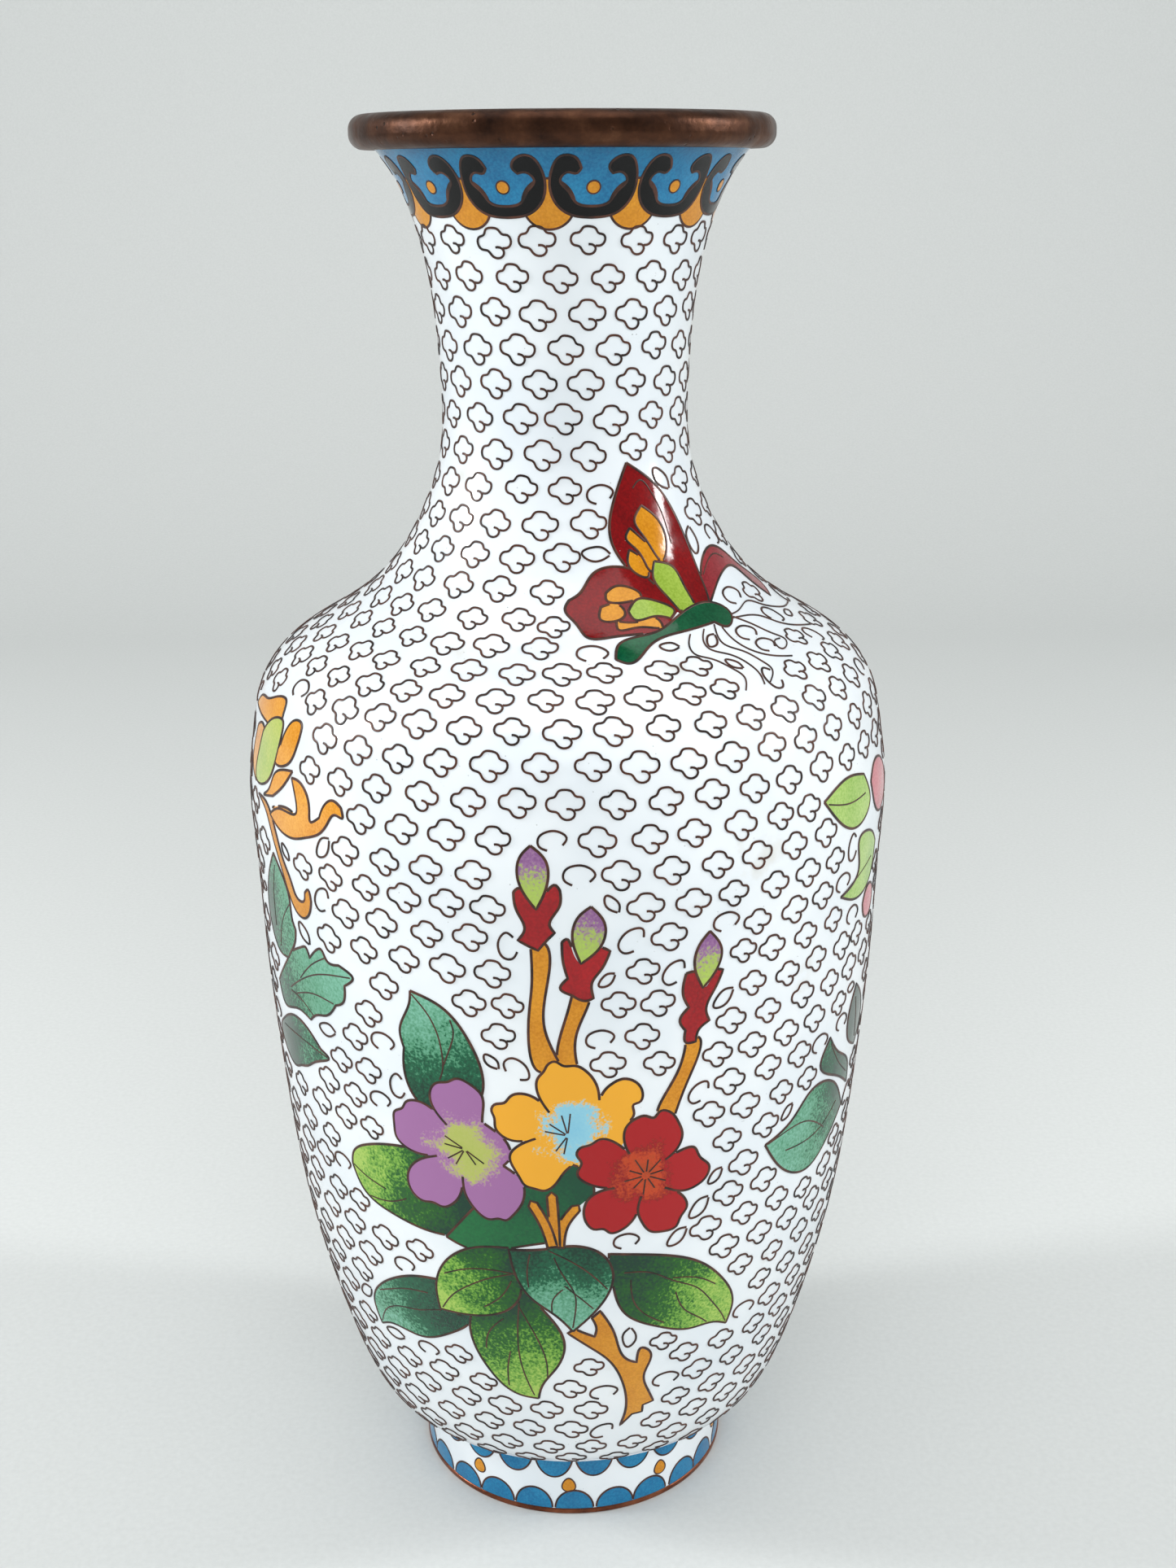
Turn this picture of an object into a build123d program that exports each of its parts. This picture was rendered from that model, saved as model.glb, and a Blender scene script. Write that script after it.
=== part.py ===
from build123d import *
import os
from math import cos, pi, radians, sin

# A cloisonne enamel vase: a copper body raised in three pieces, a copper foot ring and a rolled
# copper mouth, coated with glass enamel outside and inside. Flat wires stand on edge in the
# outer coat and fence off the coloured cells. Millimetres, +Z up, the foot stands on z = 0.

# ---- Driving sizes ---------------------------------------------------------------------------

height = 230
belly_radius = 52
neck_radius = 19.4
throat_radius = 28.3  # under the mouth rim
mouth_radius = 32
mouth_height = 5
edge_radius = 33.4  # where the body turns under towards the foot
foot_radius = 27
foot_height = 12.2
flange_height = 1  # bare copper edge of the foot

copper_wall = 1
enamel_wall = 0.8
lining_wall = 0.3
foot_wall = 1.4
foot_enamel_wall = 0.7
flange_lip = 0.1
underside_wall = 0.6
wire_width = 0.4

belly_share = 0.568  # of the full height, where the body is widest
waist_share = 0.838
edge_climb = 3.4  # the rounding under the body, from the foot to the edge
joint_step = 0.2  # the body meets the foot this far outside the foot's flange
body_seam_share = 0.36  # of the full height, where the lower body is brazed to the upper
neck_seam_share = 0.71
spigot_height = 2  # the neck's lip inside the mouth rim
solder_gap = 0.05
mouth_rounding = 2.1
mouth_bore_rounding = 1.2

head_count = 12
head_turn = 10  # degrees, where the first collar head looks
scallop_count = 24
drop_count = 10

# ---- Meridian --------------------------------------------------------------------------------

mouth_bottom = height - mouth_height
edge_height = foot_height + edge_climb
belly_height = belly_share * height
waist_height = waist_share * height
overrun = 1.4  # the meridian passes the mouth's seat and is trimmed there

# Shares of the climb, and of the change of radius, at the knots of each stretch.
belly_knots = [
    (0.05, 0.21), (0.12, 0.37), (0.23, 0.56), (0.35, 0.715),
    (0.48, 0.82), (0.61, 0.895), (0.74, 0.95), (0.88, 0.985),
]
shoulder_knots = [
    (0.11, 0.03), (0.21, 0.07), (0.305, 0.195), (0.4, 0.47),
    (0.515, 0.735), (0.645, 0.89), (0.8, 0.99),
]
throat_knots = [(0.37, 0.115), (0.71, 0.41), (0.92, 0.77)]


def stretch(start, end, knots):
    """Points from start up to end, by the share of the climb and of the change of radius."""
    (start_radius, start_height), (end_radius, end_height) = start, end
    widening = end_radius - start_radius
    climb = end_height - start_height
    return [start] + [(start_radius + widening * wider, start_height + climb * up) for up, wider in knots]


foot_joint = (foot_radius + joint_step, foot_height)
body_edge = (edge_radius, edge_height)
belly = (belly_radius, belly_height)
waist = (neck_radius, waist_height)
throat = (throat_radius, mouth_bottom)
meridian = Spline(
    *[
        Vector(radius, 0, level)
        for radius, level in (
            stretch(foot_joint, body_edge, [(0.35, 0.45)])
            + stretch(body_edge, belly, belly_knots)
            + stretch(belly, waist, shoulder_knots)
            + stretch(waist, throat, throat_knots)
            + [throat, (throat_radius + overrun, mouth_bottom + overrun)]
        )
    ]
)
stations = 40


def layer(depth):
    """The meridian moved inwards by depth, as points in the XZ plane."""
    points = []
    for station in range(stations + 1):
        here = meridian @ (station / stations)
        along = meridian % (station / stations)
        points.append((here.X - depth * along.Z, here.Z + depth * along.X))
    return points


def shell(outer_depth, inner_depth, bottom, top, floored=False):
    """A shell of revolution between two depths below the surface and between two levels."""
    with BuildPart() as piece:
        with BuildSketch(Plane.XZ):
            with BuildLine():
                outside = Spline(*layer(outer_depth))
                inside = Spline(*layer(inner_depth))
                Line(outside @ 1, inside @ 1)
                if floored:
                    Polyline(outside @ 0, (0, (outside @ 0).Y), (0, (inside @ 0).Y), inside @ 0)
                else:
                    Line(outside @ 0, inside @ 0)
            make_face()
            with Locations((0, bottom)):
                Rectangle(
                    4 * belly_radius,
                    top - bottom,
                    align=(Align.CENTER, Align.MIN),
                    mode=Mode.INTERSECT,
                )
        revolve(axis=Axis.Z)
    return piece.part


# ---- Copper ----------------------------------------------------------------------------------

os.makedirs("parts", exist_ok=True)


def keep_as(name, part):
    part.label = name
    export_step(part, f"parts/{name}.step", write_pcurves=False)


copper_depth = enamel_wall
lining_depth = copper_depth + copper_wall
floor_bottom = layer(copper_depth)[0][1]
body_seam = body_seam_share * height
neck_seam = neck_seam_share * height


copper_lower_body = shell(copper_depth, lining_depth, 0, body_seam, floored=True)
copper_upper_body = shell(copper_depth, lining_depth, body_seam, neck_seam)

with BuildPart() as copper_neck:
    add(shell(copper_depth, lining_depth, neck_seam, mouth_bottom))
    seat = copper_neck.faces().sort_by(Axis.Z)[-1]
    spigot_outer = seat.edges().sort_by(SortBy.RADIUS)[-1].radius
    spigot_inner = spigot_outer - copper_wall
    with BuildSketch(Plane.XY.offset(mouth_bottom)):
        Circle(spigot_outer)
        Circle(spigot_inner, mode=Mode.SUBTRACT)
    extrude(amount=spigot_height)

with BuildPart() as mouth_rim:
    with BuildSketch(Plane.XY.offset(mouth_bottom)):
        Circle(mouth_radius)
        Circle(spigot_inner - copper_wall / 2, mode=Mode.SUBTRACT)
    extrude(amount=mouth_height)
    top_edges = mouth_rim.faces().sort_by(Axis.Z)[-1].edges().sort_by(SortBy.RADIUS)
    bottom_edges = mouth_rim.faces().sort_by(Axis.Z)[0].edges().sort_by(SortBy.RADIUS)
    fillet([top_edges[-1], bottom_edges[-1]], radius=mouth_rounding)
    bore_edge = mouth_rim.faces().sort_by(Axis.Z)[-1].edges().sort_by(SortBy.RADIUS)[0]
    fillet(bore_edge, radius=mouth_bore_rounding)
    with BuildSketch(Plane.XY.offset(mouth_bottom)):
        Circle(spigot_outer + solder_gap)
        Circle(spigot_inner - solder_gap, mode=Mode.SUBTRACT)
    extrude(amount=spigot_height + solder_gap, mode=Mode.SUBTRACT)

foot_enamel_outer = foot_radius - flange_lip
foot_outer = foot_enamel_outer - foot_enamel_wall
foot_inner = foot_outer - foot_wall

with BuildPart() as foot_ring:
    with BuildSketch():
        Circle(foot_outer)
        Circle(foot_inner, mode=Mode.SUBTRACT)
    extrude(amount=floor_bottom)
    with BuildSketch():
        Circle(foot_radius)
        Circle(foot_inner, mode=Mode.SUBTRACT)
    extrude(amount=flange_height)

keep_as("copper_lower_body", copper_lower_body)
keep_as("copper_upper_body", copper_upper_body)
keep_as("copper_neck", copper_neck.part)
keep_as("mouth_rim", mouth_rim.part)
keep_as("foot_ring", foot_ring.part)

# ---- Inner enamel ----------------------------------------------------------------------------

keep_as("lining_enamel", shell(lining_depth, lining_depth + lining_wall, 0, mouth_bottom, floored=True))

with BuildPart() as underside_enamel:
    with BuildSketch(Plane.XY.offset(floor_bottom)):
        Circle(foot_inner)
    extrude(amount=-underside_wall)

keep_as("underside_enamel", underside_enamel.part)

# ---- Drawing on the surface -------------------------------------------------------------------

# The picture is drawn in millimetres on a vase of the drawn sizes: x runs round the surface from
# the motif's middle and s climbs along the meridian from the body's edge. It stretches with the vase.
drawn_radius = 52
drawn_length = 235.8
drawn_edge = 7.1
reach = belly_radius + 5  # longer than any cell's way out from the axis
window_margin = 16  # a cell is cut from a window of the coat this much larger
redrawn_step = 1.2  # between the points that an edge is drawn afresh through
fewest_steps = 4  # from point to point along even the shortest edge


def spot(x, s, turn=0):
    """Where a drawn point lies on a plane that faces the motif, or one turned away by turn degrees."""
    here = meridian @ ((s + drawn_edge) / drawn_length)
    away = x * belly_radius / drawn_radius / here.X + radians(turn)
    return (here.X * sin(away), here.Z)


def facing(azimuth):
    """The upright plane through the axis that looks out at an azimuth, 0 at the front."""
    turn = radians(azimuth)
    return Plane(origin=(0, 0, 0), x_dir=(cos(turn), sin(turn), 0), z_dir=(sin(turn), -cos(turn), 0))


def outline(*runs, turn=0):
    """A face bounded by smooth runs of points, with a corner where each run starts."""
    with BuildSketch() as shape:
        with BuildLine():
            for run, following in zip(runs, runs[1:] + runs[:1]):
                Spline(*[spot(*point, turn) for point in run + following[:1]])
        make_face()
    return shape.sketch


def petals(centre, *runs):
    """The petals round a centre, each a smooth run from its first cleft to the next petal's."""
    pairs = zip(runs, runs[1:] + runs[:1])
    return [outline(run, following[:1], [centre]) for run, following in pairs]


def redrawn(sketch):
    """A sketch with every edge drawn afresh as a smooth run of its own points."""
    with BuildSketch() as shape:
        for face in sketch.faces():
            wires = [(face.outer_wire(), Mode.ADD)]
            wires += [(hole, Mode.SUBTRACT) for hole in face.inner_wires()]
            for wire, mode in wires:
                with BuildLine():
                    for edge in wire.edges():
                        steps = max(fewest_steps, round(edge.length / redrawn_step))
                        Spline(*[edge @ (k / steps) for k in range(steps + 1)])
                make_face(mode=mode)
    return shape.sketch


def line(*points, width=wire_width):
    """A stroke along a smooth run of points, as wide as a wire unless told otherwise."""
    with BuildSketch() as shape:
        with BuildLine():
            Spline(*[spot(*point) for point in points])
        trace(line_width=width)
    return redrawn(shape.sketch)


def petal(x, s, direction, length, breadth):
    """A notched petal that starts at (x, s) and points along direction, in degrees from +x."""
    half = breadth / 2
    side = [(0, 0), (0.35 * length, 0.75 * half), (0.72 * length, half), (0.95 * length, 0.62 * half)]
    tip = [(0.97 * length, 0)]
    other_side = [(along, -across) for along, across in reversed(side[1:])]
    turn = radians(direction)
    points = [
        (x + along * cos(turn) - across * sin(turn), s + along * sin(turn) + across * cos(turn))
        for along, across in side + tip + other_side
    ]
    return outline(points[:4], points[4:])


def joined(*faces):
    with BuildSketch() as shape:
        for face in faces:
            add(face)
    return shape.sketch


def between(face, others, mode=Mode.SUBTRACT):
    """What is left of a face beside, or inside, other faces."""
    with BuildSketch() as shape:
        add(face)
        for other in others:
            add(other, mode=mode)
    return shape.sketch


def widened(face, amount):
    with BuildSketch() as shape:
        add(face)
        offset(amount=amount)
    return redrawn(shape.sketch)


def grouped(parts):
    """Separate solids kept side by side as one part."""
    return Compound([solid for part in parts for solid in part.solids()])


def sunk(faces, azimuth, layer_part):
    """The parts of a layer that lie behind faces drawn on the plane looking out at an azimuth."""
    cells = []
    for cell in [cell for face in faces for cell in face.faces()]:
        size = cell.bounding_box().size
        with BuildPart() as piece:
            add(layer_part)
            with BuildSketch(facing(azimuth)):
                with Locations(cell.bounding_box().center()):
                    Rectangle(size.X + window_margin, size.Y + window_margin)
            extrude(amount=reach, mode=Mode.INTERSECT)
            with BuildSketch(facing(azimuth)):
                add(cell)
            extrude(amount=reach, mode=Mode.INTERSECT)
        cells.append(piece.part)
    return grouped(cells)


# ---- Motifs: each a list of cells from front to back, as (node, faces, veins) --------------------

red_blossom = petals(
    (11.2, 65.6),
    [(8.9, 69.4), (8, 71.8), (8.7, 75), (11.2, 75.8), (12.5, 75.3), (14.4, 76.2), (17, 72.5), (16, 69)],
    [(14, 67.6), (18.5, 69), (20, 67.2), (21.7, 64.9), (20.5, 62.3), (17.8, 61.4)],
    [(14.6, 62.4), (17.8, 59.5), (17, 56.6), (14, 54.5), (11.2, 56), (10.1, 59)],
    [(10.5, 61.8), (9.3, 57.4), (6.5, 55.3), (3.5, 56.2), (1.8, 59.6), (3.6, 62.8)],
    [(6.6, 63.5), (2.2, 65), (1.4, 68.4), (1.3, 71), (4.5, 72.4), (7.5, 71)],
)
red_centre = outline(
    [(6.6, 65.6), (7.6, 69), (11, 69.6), (14.6, 67.4), (14.2, 63.2), (11.4, 61.8), (7.6, 62.4)]
)
yellow_blossom = petals(
    (0, 73.6),
    [(-3.2, 77.2), (-5, 81), (-4.1, 84.3), (-2.3, 85.8), (0, 85.3), (3, 83.3)],
    [(4.2, 79.2), (6, 81.9), (8.7, 82.3), (10.6, 79.6), (9.4, 77.6), (8.6, 75), (8, 72)],
    [(5, 69), (2, 67.5)],
    [(0.2, 68.1), (-1.8, 65.4), (-4.4, 63.4), (-7.4, 64.6), (-9.1, 69), (-8, 71.3)],
    [(-5.3, 72.6), (-9.6, 72.3), (-11.5, 75), (-11.2, 78.1), (-9, 79.7), (-6, 80)],
)
yellow_centre = outline(
    [(-4.7, 75.8), (-1.5, 78.7), (2.8, 77.2), (4.6, 75.4), (2.7, 71.6), (-0.6, 69.6), (-4, 70.6)]
)
mauve_blossom = petals(
    (-16.6, 69.4),
    [(-19.1, 73.3), (-21.6, 77.5), (-20, 80.5), (-17.8, 81.6), (-15, 80.8), (-13.2, 78.5)],
    [(-13.4, 74.7), (-10, 72), (-9, 69)],
    [(-10.3, 67.4), (-7.4, 64), (-8.4, 59.8), (-12, 57.4), (-15.4, 59.4)],
    [(-16.8, 64.5), (-17.6, 60.6), (-20.6, 58.2), (-25.2, 59.6), (-26.2, 63.4), (-23.4, 66.5)],
    [(-21, 67.4), (-26, 67.4), (-28.5, 71), (-26.8, 74.6), (-24.3, 76.4), (-21.4, 75.4)],
)
mauve_centre = outline(
    [(-20.6, 71.4), (-17, 72.9), (-13.2, 71.8), (-12, 69), (-14.6, 65.6), (-18.4, 65.8)]
)
twig_width = 1.5
twig = joined(
    line((-3, 53), (-4, 56.8), (-5.9, 60.8), width=twig_width),
    line((-2.6, 53), (-2.7, 57), (-3, 62.4), width=twig_width),
    line((-2, 53), (-1.2, 57.4), (0.6, 60.2), width=twig_width),
)
heart_leaf = outline(
    [(0, 36.1), (-2.5, 39.3), (-6.4, 42.8), (-9.2, 48.6)],
    [(-9.8, 52), (-4, 52.6), (0, 53.2), (4.4, 51.6), (6.3, 47.5), (4.4, 41.5)],
)
drooping_leaf = outline(
    [(-21.8, 37.4), (-15, 37.9), (-9.4, 40.8), (-8, 45), (-8.8, 48)],
    [(-9.4, 52.4), (-15, 51.7), (-20, 48.2), (-22.3, 42)],
)
hanging_leaf = outline(
    [(-5.6, 20.4), (-8.8, 21), (-13.6, 26), (-16.2, 32), (-16.5, 36.8)],
    [(-8.4, 45.5), (-4, 39.6), (-1.4, 34), (-2.6, 28), (-5, 23.5)],
)
right_leaf = outline(
    [(26.2, 31.6), (23.6, 33), (19, 33.3), (14, 35.2), (8.4, 39), (6.2, 46)],
    [(5.6, 51.4), (13, 50.2), (19.6, 47.6), (25, 42), (27.3, 36)],
)
teal_leaf = outline(
    [(-35.2, 27.6), (-33, 29), (-26, 29.4), (-20, 32.6), (-16.6, 36)],
    [(-17, 43.6), (-26, 42.8), (-32, 39.5), (-36.4, 33)],
)
branch = outline(
    [(3, 38.8)],
    [(4.3, 40.2), (6.6, 35), (8.9, 28.8)],
    [(10.2, 28), (11.2, 31.2), (12.2, 30.4), (11.5, 25), (12.2, 21)],
    [(13.2, 17.9)],
    [(11.4, 17.3)],
    [(11.3, 15.6)],
    [(9.6, 15.4)],
    [(7.6, 12.8), (8.4, 16), (8, 23.5), (5.3, 29.8), (2.8, 32.4)],
    [(-0.8, 35.7)],
    [(0.3, 36.6), (1.6, 35.8)],
    [(3.4, 34.8), (3.7, 36.4)],
)
shade_leaf = outline(
    [(-20, 52.6), (-16, 51.2), (-8, 52.8)],
    [(-3, 54)],
    [(0.4, 60)],
    [(3.4, 62.8), (2, 69), (-8, 66), (-16, 58)],
)
broad_leaf = outline(
    [(-38.3, 60.4), (-36, 56.4), (-30, 54), (-20, 52.9), (-12, 56)],
    [(-12, 66), (-25, 67.6), (-34, 65.6), (-38, 62.4)],
)
upper_leaf = outline(
    [(-24.4, 94.9), (-19.4, 93.2), (-15, 88), (-13.1, 80.4)],
    [(-16, 74), (-24, 76.6), (-26.1, 82)],
    [(-25.9, 85.2), (-26.5, 88), (-24.6, 93)],
)
calyx_runs = [
    [(0, 0), (1.1, 2.2), (2.7, 3.8), (3.4, 2.6), (2.7, -0.7), (1.9, -2.5)],
    [(2.6, -3.7), (1.3, -5), (0.1, -6.2), (-2.7, -4.8)],
    [(-1.8, -3), (-2.8, -0.2), (-3.2, 2.6), (-2.3, 3), (-1.1, 1.6)],
]


def calyx(x, s):
    """A cup with two sepals, parted at (x, s) where the bud stands."""
    return outline(*[[(x + across, s + up) for across, up in run] for run in calyx_runs])


calyxes = [calyx(-4.7, 110), calyx(1.7, 101.5), calyx(19.9, 95.8)]
bud_left = outline([(-5.4, 119.5), (-3.3, 117.4), (-3, 114.4)], [(-4.7, 110), (-7.2, 114.4), (-6.8, 118)])
bud_middle = outline([(3.1, 110.4), (5, 107.8), (4.7, 104.6)], [(1.6, 101.5), (0.4, 106), (1.4, 109)])
bud_right = outline([(20.9, 104.7), (22.9, 101.4), (22, 98.2)], [(19.9, 95.8), (18.5, 100), (19.4, 103)])
stem_left = outline(
    [(-5.6, 105), (-5.5, 98), (-6.1, 91), (-4.2, 84)],
    [(-1.6, 85.5), (-3.7, 91), (-3.3, 98), (-4.2, 105)],
)
stem_middle = outline([(0.4, 97), (-0.6, 93), (-0.9, 85)], [(1, 85), (1.1, 91), (2.4, 97)])
stem_right = outline([(17.4, 88), (15.8, 82), (13.4, 75.5)], [(15.8, 75.5), (17.8, 81), (19, 88)])

spray = [
    ("blossom_red_centre", [red_centre], []),
    ("blossom_red", red_blossom, []),
    ("blossom_yellow_centre", [yellow_centre], []),
    ("blossom_yellow", yellow_blossom, []),
    ("blossom_mauve_centre", [mauve_centre], []),
    ("blossom_mauve", mauve_blossom, []),
    ("twig", [twig], []),
    (
        "leaf_heart",
        [heart_leaf],
        [
            [(-3.2, 52), (-1.4, 47.5), (0.4, 43), (0.1, 37)],
            [(-3, 52.2), (0.4, 50), (3.6, 46.8), (5.3, 44.4)],
        ],
    ),
    (
        "leaf_drooping",
        [drooping_leaf],
        [[(-21.3, 37.9), (-16.5, 43.8), (-9, 47.6)], [(-20.7, 45.2), (-15, 47.4), (-9, 47.4)]],
    ),
    (
        "leaf_hanging",
        [hanging_leaf],
        [[(-8.4, 43), (-8.7, 32), (-6.4, 21)], [(-8.4, 41), (-5.4, 34), (-4.1, 25.6)]],
    ),
    (
        "leaf_right",
        [right_leaf],
        [[(8, 47.4), (16, 44.5), (22.6, 38.6), (26, 32)], [(16.6, 41.6), (18.4, 37.4), (22.4, 33.4)]],
    ),
    (
        "leaf_teal",
        [teal_leaf],
        [[(-35, 28.4), (-31, 34), (-24, 36.3), (-17.4, 36.9)], [(-34.6, 36), (-29, 39), (-23.6, 40)]],
    ),
    ("branch", [branch], []),
    ("leaf_shade", [shade_leaf], []),
    (
        "leaf_broad",
        [broad_leaf],
        [[(-37.8, 60.2), (-34.6, 58.9), (-30, 58.4)], [(-34.4, 55.6), (-30, 56.4), (-26, 58)]],
    ),
    (
        "leaf_upper",
        [upper_leaf],
        [[(-24.1, 94.4), (-20.4, 89.6), (-19.5, 84.8), (-20, 81)], [(-17.9, 91), (-17.6, 88), (-19.5, 83)]],
    ),
    ("buds", [bud_left, bud_middle, bud_right], []),
    ("calyxes", calyxes, []),
    ("bud_stems", [stem_left, stem_middle, stem_right], []),
]

insect_body = outline(
    [(-5.9, 148.6), (-4.6, 151.4), (1.6, 153.2), (6, 155.4), (14.6, 156.5), (16.8, 153.8), (15, 152.1)],
    [(12.6, 153.4), (6, 152.7), (0, 150.8), (-4.6, 147.7)],
)
ochre_cells = [
    outline([(4.4, 173.8), (6.8, 171.8), (7.8, 167), (6.6, 165), (4.4, 168.4), (2.9, 171.8)]),
    outline([(1.9, 170.6), (4.4, 168), (5.7, 165.4), (4.2, 163.1), (2.8, 166.6), (1, 169.2)]),
    outline([(1.2, 167.3), (3.2, 165.4), (3.4, 162.8), (0.8, 164.4)]),
    outline([(-3.9, 160.7), (-1.7, 161.8), (1.4, 160), (-1.3, 159), (-4.1, 159.7)]),
    outline([(-5.2, 158.4), (-2.4, 158.6), (-1.9, 157), (-5.8, 156.2)]),
    outline([(-3.6, 155.8), (0.3, 155.5), (2.8, 155.6), (3.2, 154.2), (0, 154.4), (-3.8, 154.4)]),
]
green_cells = [
    outline([(5, 165.1), (8, 164), (9.5, 160), (9.9, 156.5)], [(7, 156.5), (5.5, 159.5), (4.2, 162.4)]),
    outline(
        [(-1.3, 157.4), (0.6, 159.3), (3.6, 158.7), (6.1, 156.5)],
        [(5, 155.4), (2.4, 156.1), (-0.8, 155.9)],
    ),
]
lower_wing = outline(
    [(6.6, 156.4), (5, 160), (0.8, 164.3), (-5, 164), (-7.8, 160.8)],
    [(-9.6, 159.7), (-10.6, 158), (-9.6, 155.6), (-8.8, 153.2), (-4.8, 153), (3, 153.8)],
)
upper_wing = outline(
    [(2.6, 180.3), (8.2, 176), (12.2, 168), (13.3, 162), (12.8, 156.4)],
    [(7, 156), (0.4, 164.4), (-1.4, 169), (0, 175)],
)
far_wing = outline(
    [(13.4, 156.8), (13.8, 162), (17.5, 165.4), (23, 164), (29, 160), (34.5, 154.6)],
    [(33.4, 153.6), (28.6, 158), (24, 161.3), (18.6, 160.7)],
)
butterfly = [
    ("butterfly_body", [insect_body], []),
    ("butterfly_cells_green", green_cells, []),
    ("butterfly_cells_ochre", ochre_cells, []),
    ("butterfly_wing_lower", [lower_wing], []),
    ("butterfly_wing_upper", [upper_wing], [[(3.4, 176.4), (5, 177.6), (8.4, 172), (9, 166)]]),
    ("butterfly_wing_far", [far_wing], [[(14.4, 161.2), (19, 162.4), (18.6, 164.6)]]),
]
butterfly_lines = [
    [(16.9, 154), (22.4, 155.2), (30.9, 152), (41, 150.3)],
    [(16.8, 153.3), (23.9, 152), (33.7, 147.3), (39.5, 145.7)],
    [(17, 153.2), (22, 150.4), (26.2, 146.4)],
    [(7.2, 151.6), (6.2, 148.6), (11.5, 144), (12, 139.7)],
    [(10, 152.3), (9, 149.2), (15, 144), (15.8, 140)],
    [(12.3, 152.7), (12.3, 149.2), (18, 143.8), (17.2, 140.2)],
    [(13.6, 152.4), (16.5, 147), (25, 143.3)],
]

mum_heart = outline([(-12, 127), (-7, 130.4), (-4, 130.6), (-4.6, 125.4), (-8, 120), (-14, 119)])
mum_petals = [
    outline([(-19, 130.4), (-13, 133.2), (-6, 134.6), (-4.2, 133), (-8, 131.8), (-14, 130.2)]),
    outline([(-5, 123.6), (-2.6, 129), (1, 131.8), (1.8, 128), (-1, 124.6)]),
    outline([(1.4, 124), (-3, 123.8), (-6.4, 119.4), (-9.6, 117.6), (-4, 119.6), (-1.4, 122.4)]),
    outline([(-7, 115.8), (2, 113.8), (9, 116.4), (14, 119.8), (12, 122.2), (9, 119), (5, 117)]),
    outline([(-16, 127), (-13, 128), (-10, 126), (-9.6, 121), (-13, 118.6), (-18, 121)]),
]
mum_stalk = outline(
    [(-12, 117.6), (-6, 115.4), (-2, 107), (1, 101.4)],
    [(4.6, 102.2), (5.4, 106), (2, 103.8), (-3, 112)],
)
mum_leaves = [
    outline([(-6, 109), (-2, 104), (-0.6, 98), (-3, 93)], [(-6, 90), (-11, 96), (-10, 104)]),
    outline([(14, 94.3), (8, 96.6), (0, 95)], [(-5, 91), (-8, 83)], [(2, 84), (9, 88), (12, 92)]),
    outline([(6, 78.2), (0, 81.6), (-10, 80)], [(-13, 76), (-7, 71.8), (0, 75)]),
]
chrysanthemum = [
    ("chrysanthemum_heart", [mum_heart], []),
    ("chrysanthemum_petals", mum_petals, []),
    ("chrysanthemum_stalk", [mum_stalk], []),
    (
        "chrysanthemum_leaves",
        mum_leaves,
        [[(13.4, 94.2), (6, 92.6), (-4, 87)], [(5.6, 78.2), (-2, 78.6), (-10, 78)]],
    ),
]

peony_petals = [
    outline([(8.6, 98.6), (10, 100.6), (14, 100), (14, 96), (10, 96)]),
    outline([(9, 119), (11, 114.6), (16, 112.6), (20, 116), (16, 121), (11, 121)]),
]
peony_leaves = [
    outline([(-7, 120), (-3, 115.8), (4, 113.6), (8, 116)], [(6, 121), (0, 122)]),
    outline([(-1, 103), (5, 106), (4, 111), (9, 111)], [(13, 108), (12, 103), (6, 100.8)]),
]
peony_low_leaves = [
    outline([(-15, 65.2), (-9, 67.8), (-5, 71), (2, 70)], [(8.4, 62.8), (2, 58), (-2, 56.2), (-10, 59)]),
    outline([(-0.5, 78.8), (3, 75), (9, 70.4)], [(10, 66.2), (3, 70.6), (-2.8, 75)]),
    outline([(9, 84.5), (13, 81), (15, 76)], [(12, 72.4), (7, 76), (6.6, 80.6)]),
]
peony = [
    ("peony_petals", peony_petals, []),
    ("peony_leaves", peony_leaves, [[(-0.4, 103.2), (5, 104.6), (11, 106)]]),
    (
        "peony_low_leaves",
        peony_low_leaves,
        [[(-14.4, 65.2), (-6, 66), (1, 62)], [(-10, 62.4), (0, 62.6), (5, 65)]],
    ),
]

# The back carries one large blossom on a leafy branch.
back_x, back_s = 0, 78
petal_count = 5
back_petals = [
    petal(back_x, back_s, 90 + 360 / petal_count * i, length=17, breadth=17) for i in range(petal_count)
]
with BuildSketch() as back_middle:
    with Locations(spot(back_x, back_s)):
        Circle(4.4)
back_branch = outline([(-14, 20), (-9, 34), (-3, 50), (-1, 66)], [(1.4, 66), (0, 50), (-6, 34), (-11, 20)])
back_leaves = [
    outline([(-3.4, 48), (-12, 54), (-22, 52)], [(-29, 46), (-20, 42), (-10, 42)]),
    outline([(-1, 52), (7, 58), (17, 56)], [(26, 49), (16, 44), (6, 45)]),
    outline([(-8, 33), (0, 38), (8, 35)], [(14, 28), (6, 25), (-2, 27)]),
    outline([(-10, 30), (-18, 32), (-25, 28)], [(-29, 21), (-21, 19), (-13, 22)]),
]
back_blossom = [
    ("back_blossom_centre", [back_middle.sketch], []),
    ("back_blossom", back_petals, []),
    ("back_branch", [back_branch], []),
    (
        "back_leaves",
        back_leaves,
        [[(-4, 47.6), (-15, 47.6), (-28, 46)], [(0, 51.6), (12, 50.8), (25, 49)]],
    ),
]

# ---- Outer enamel ----------------------------------------------------------------------------

outer_coat = shell(0, enamel_wall, 0, mouth_bottom)
unwired = ("blossom_red_centre", "blossom_yellow_centre", "blossom_mauve_centre")


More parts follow.
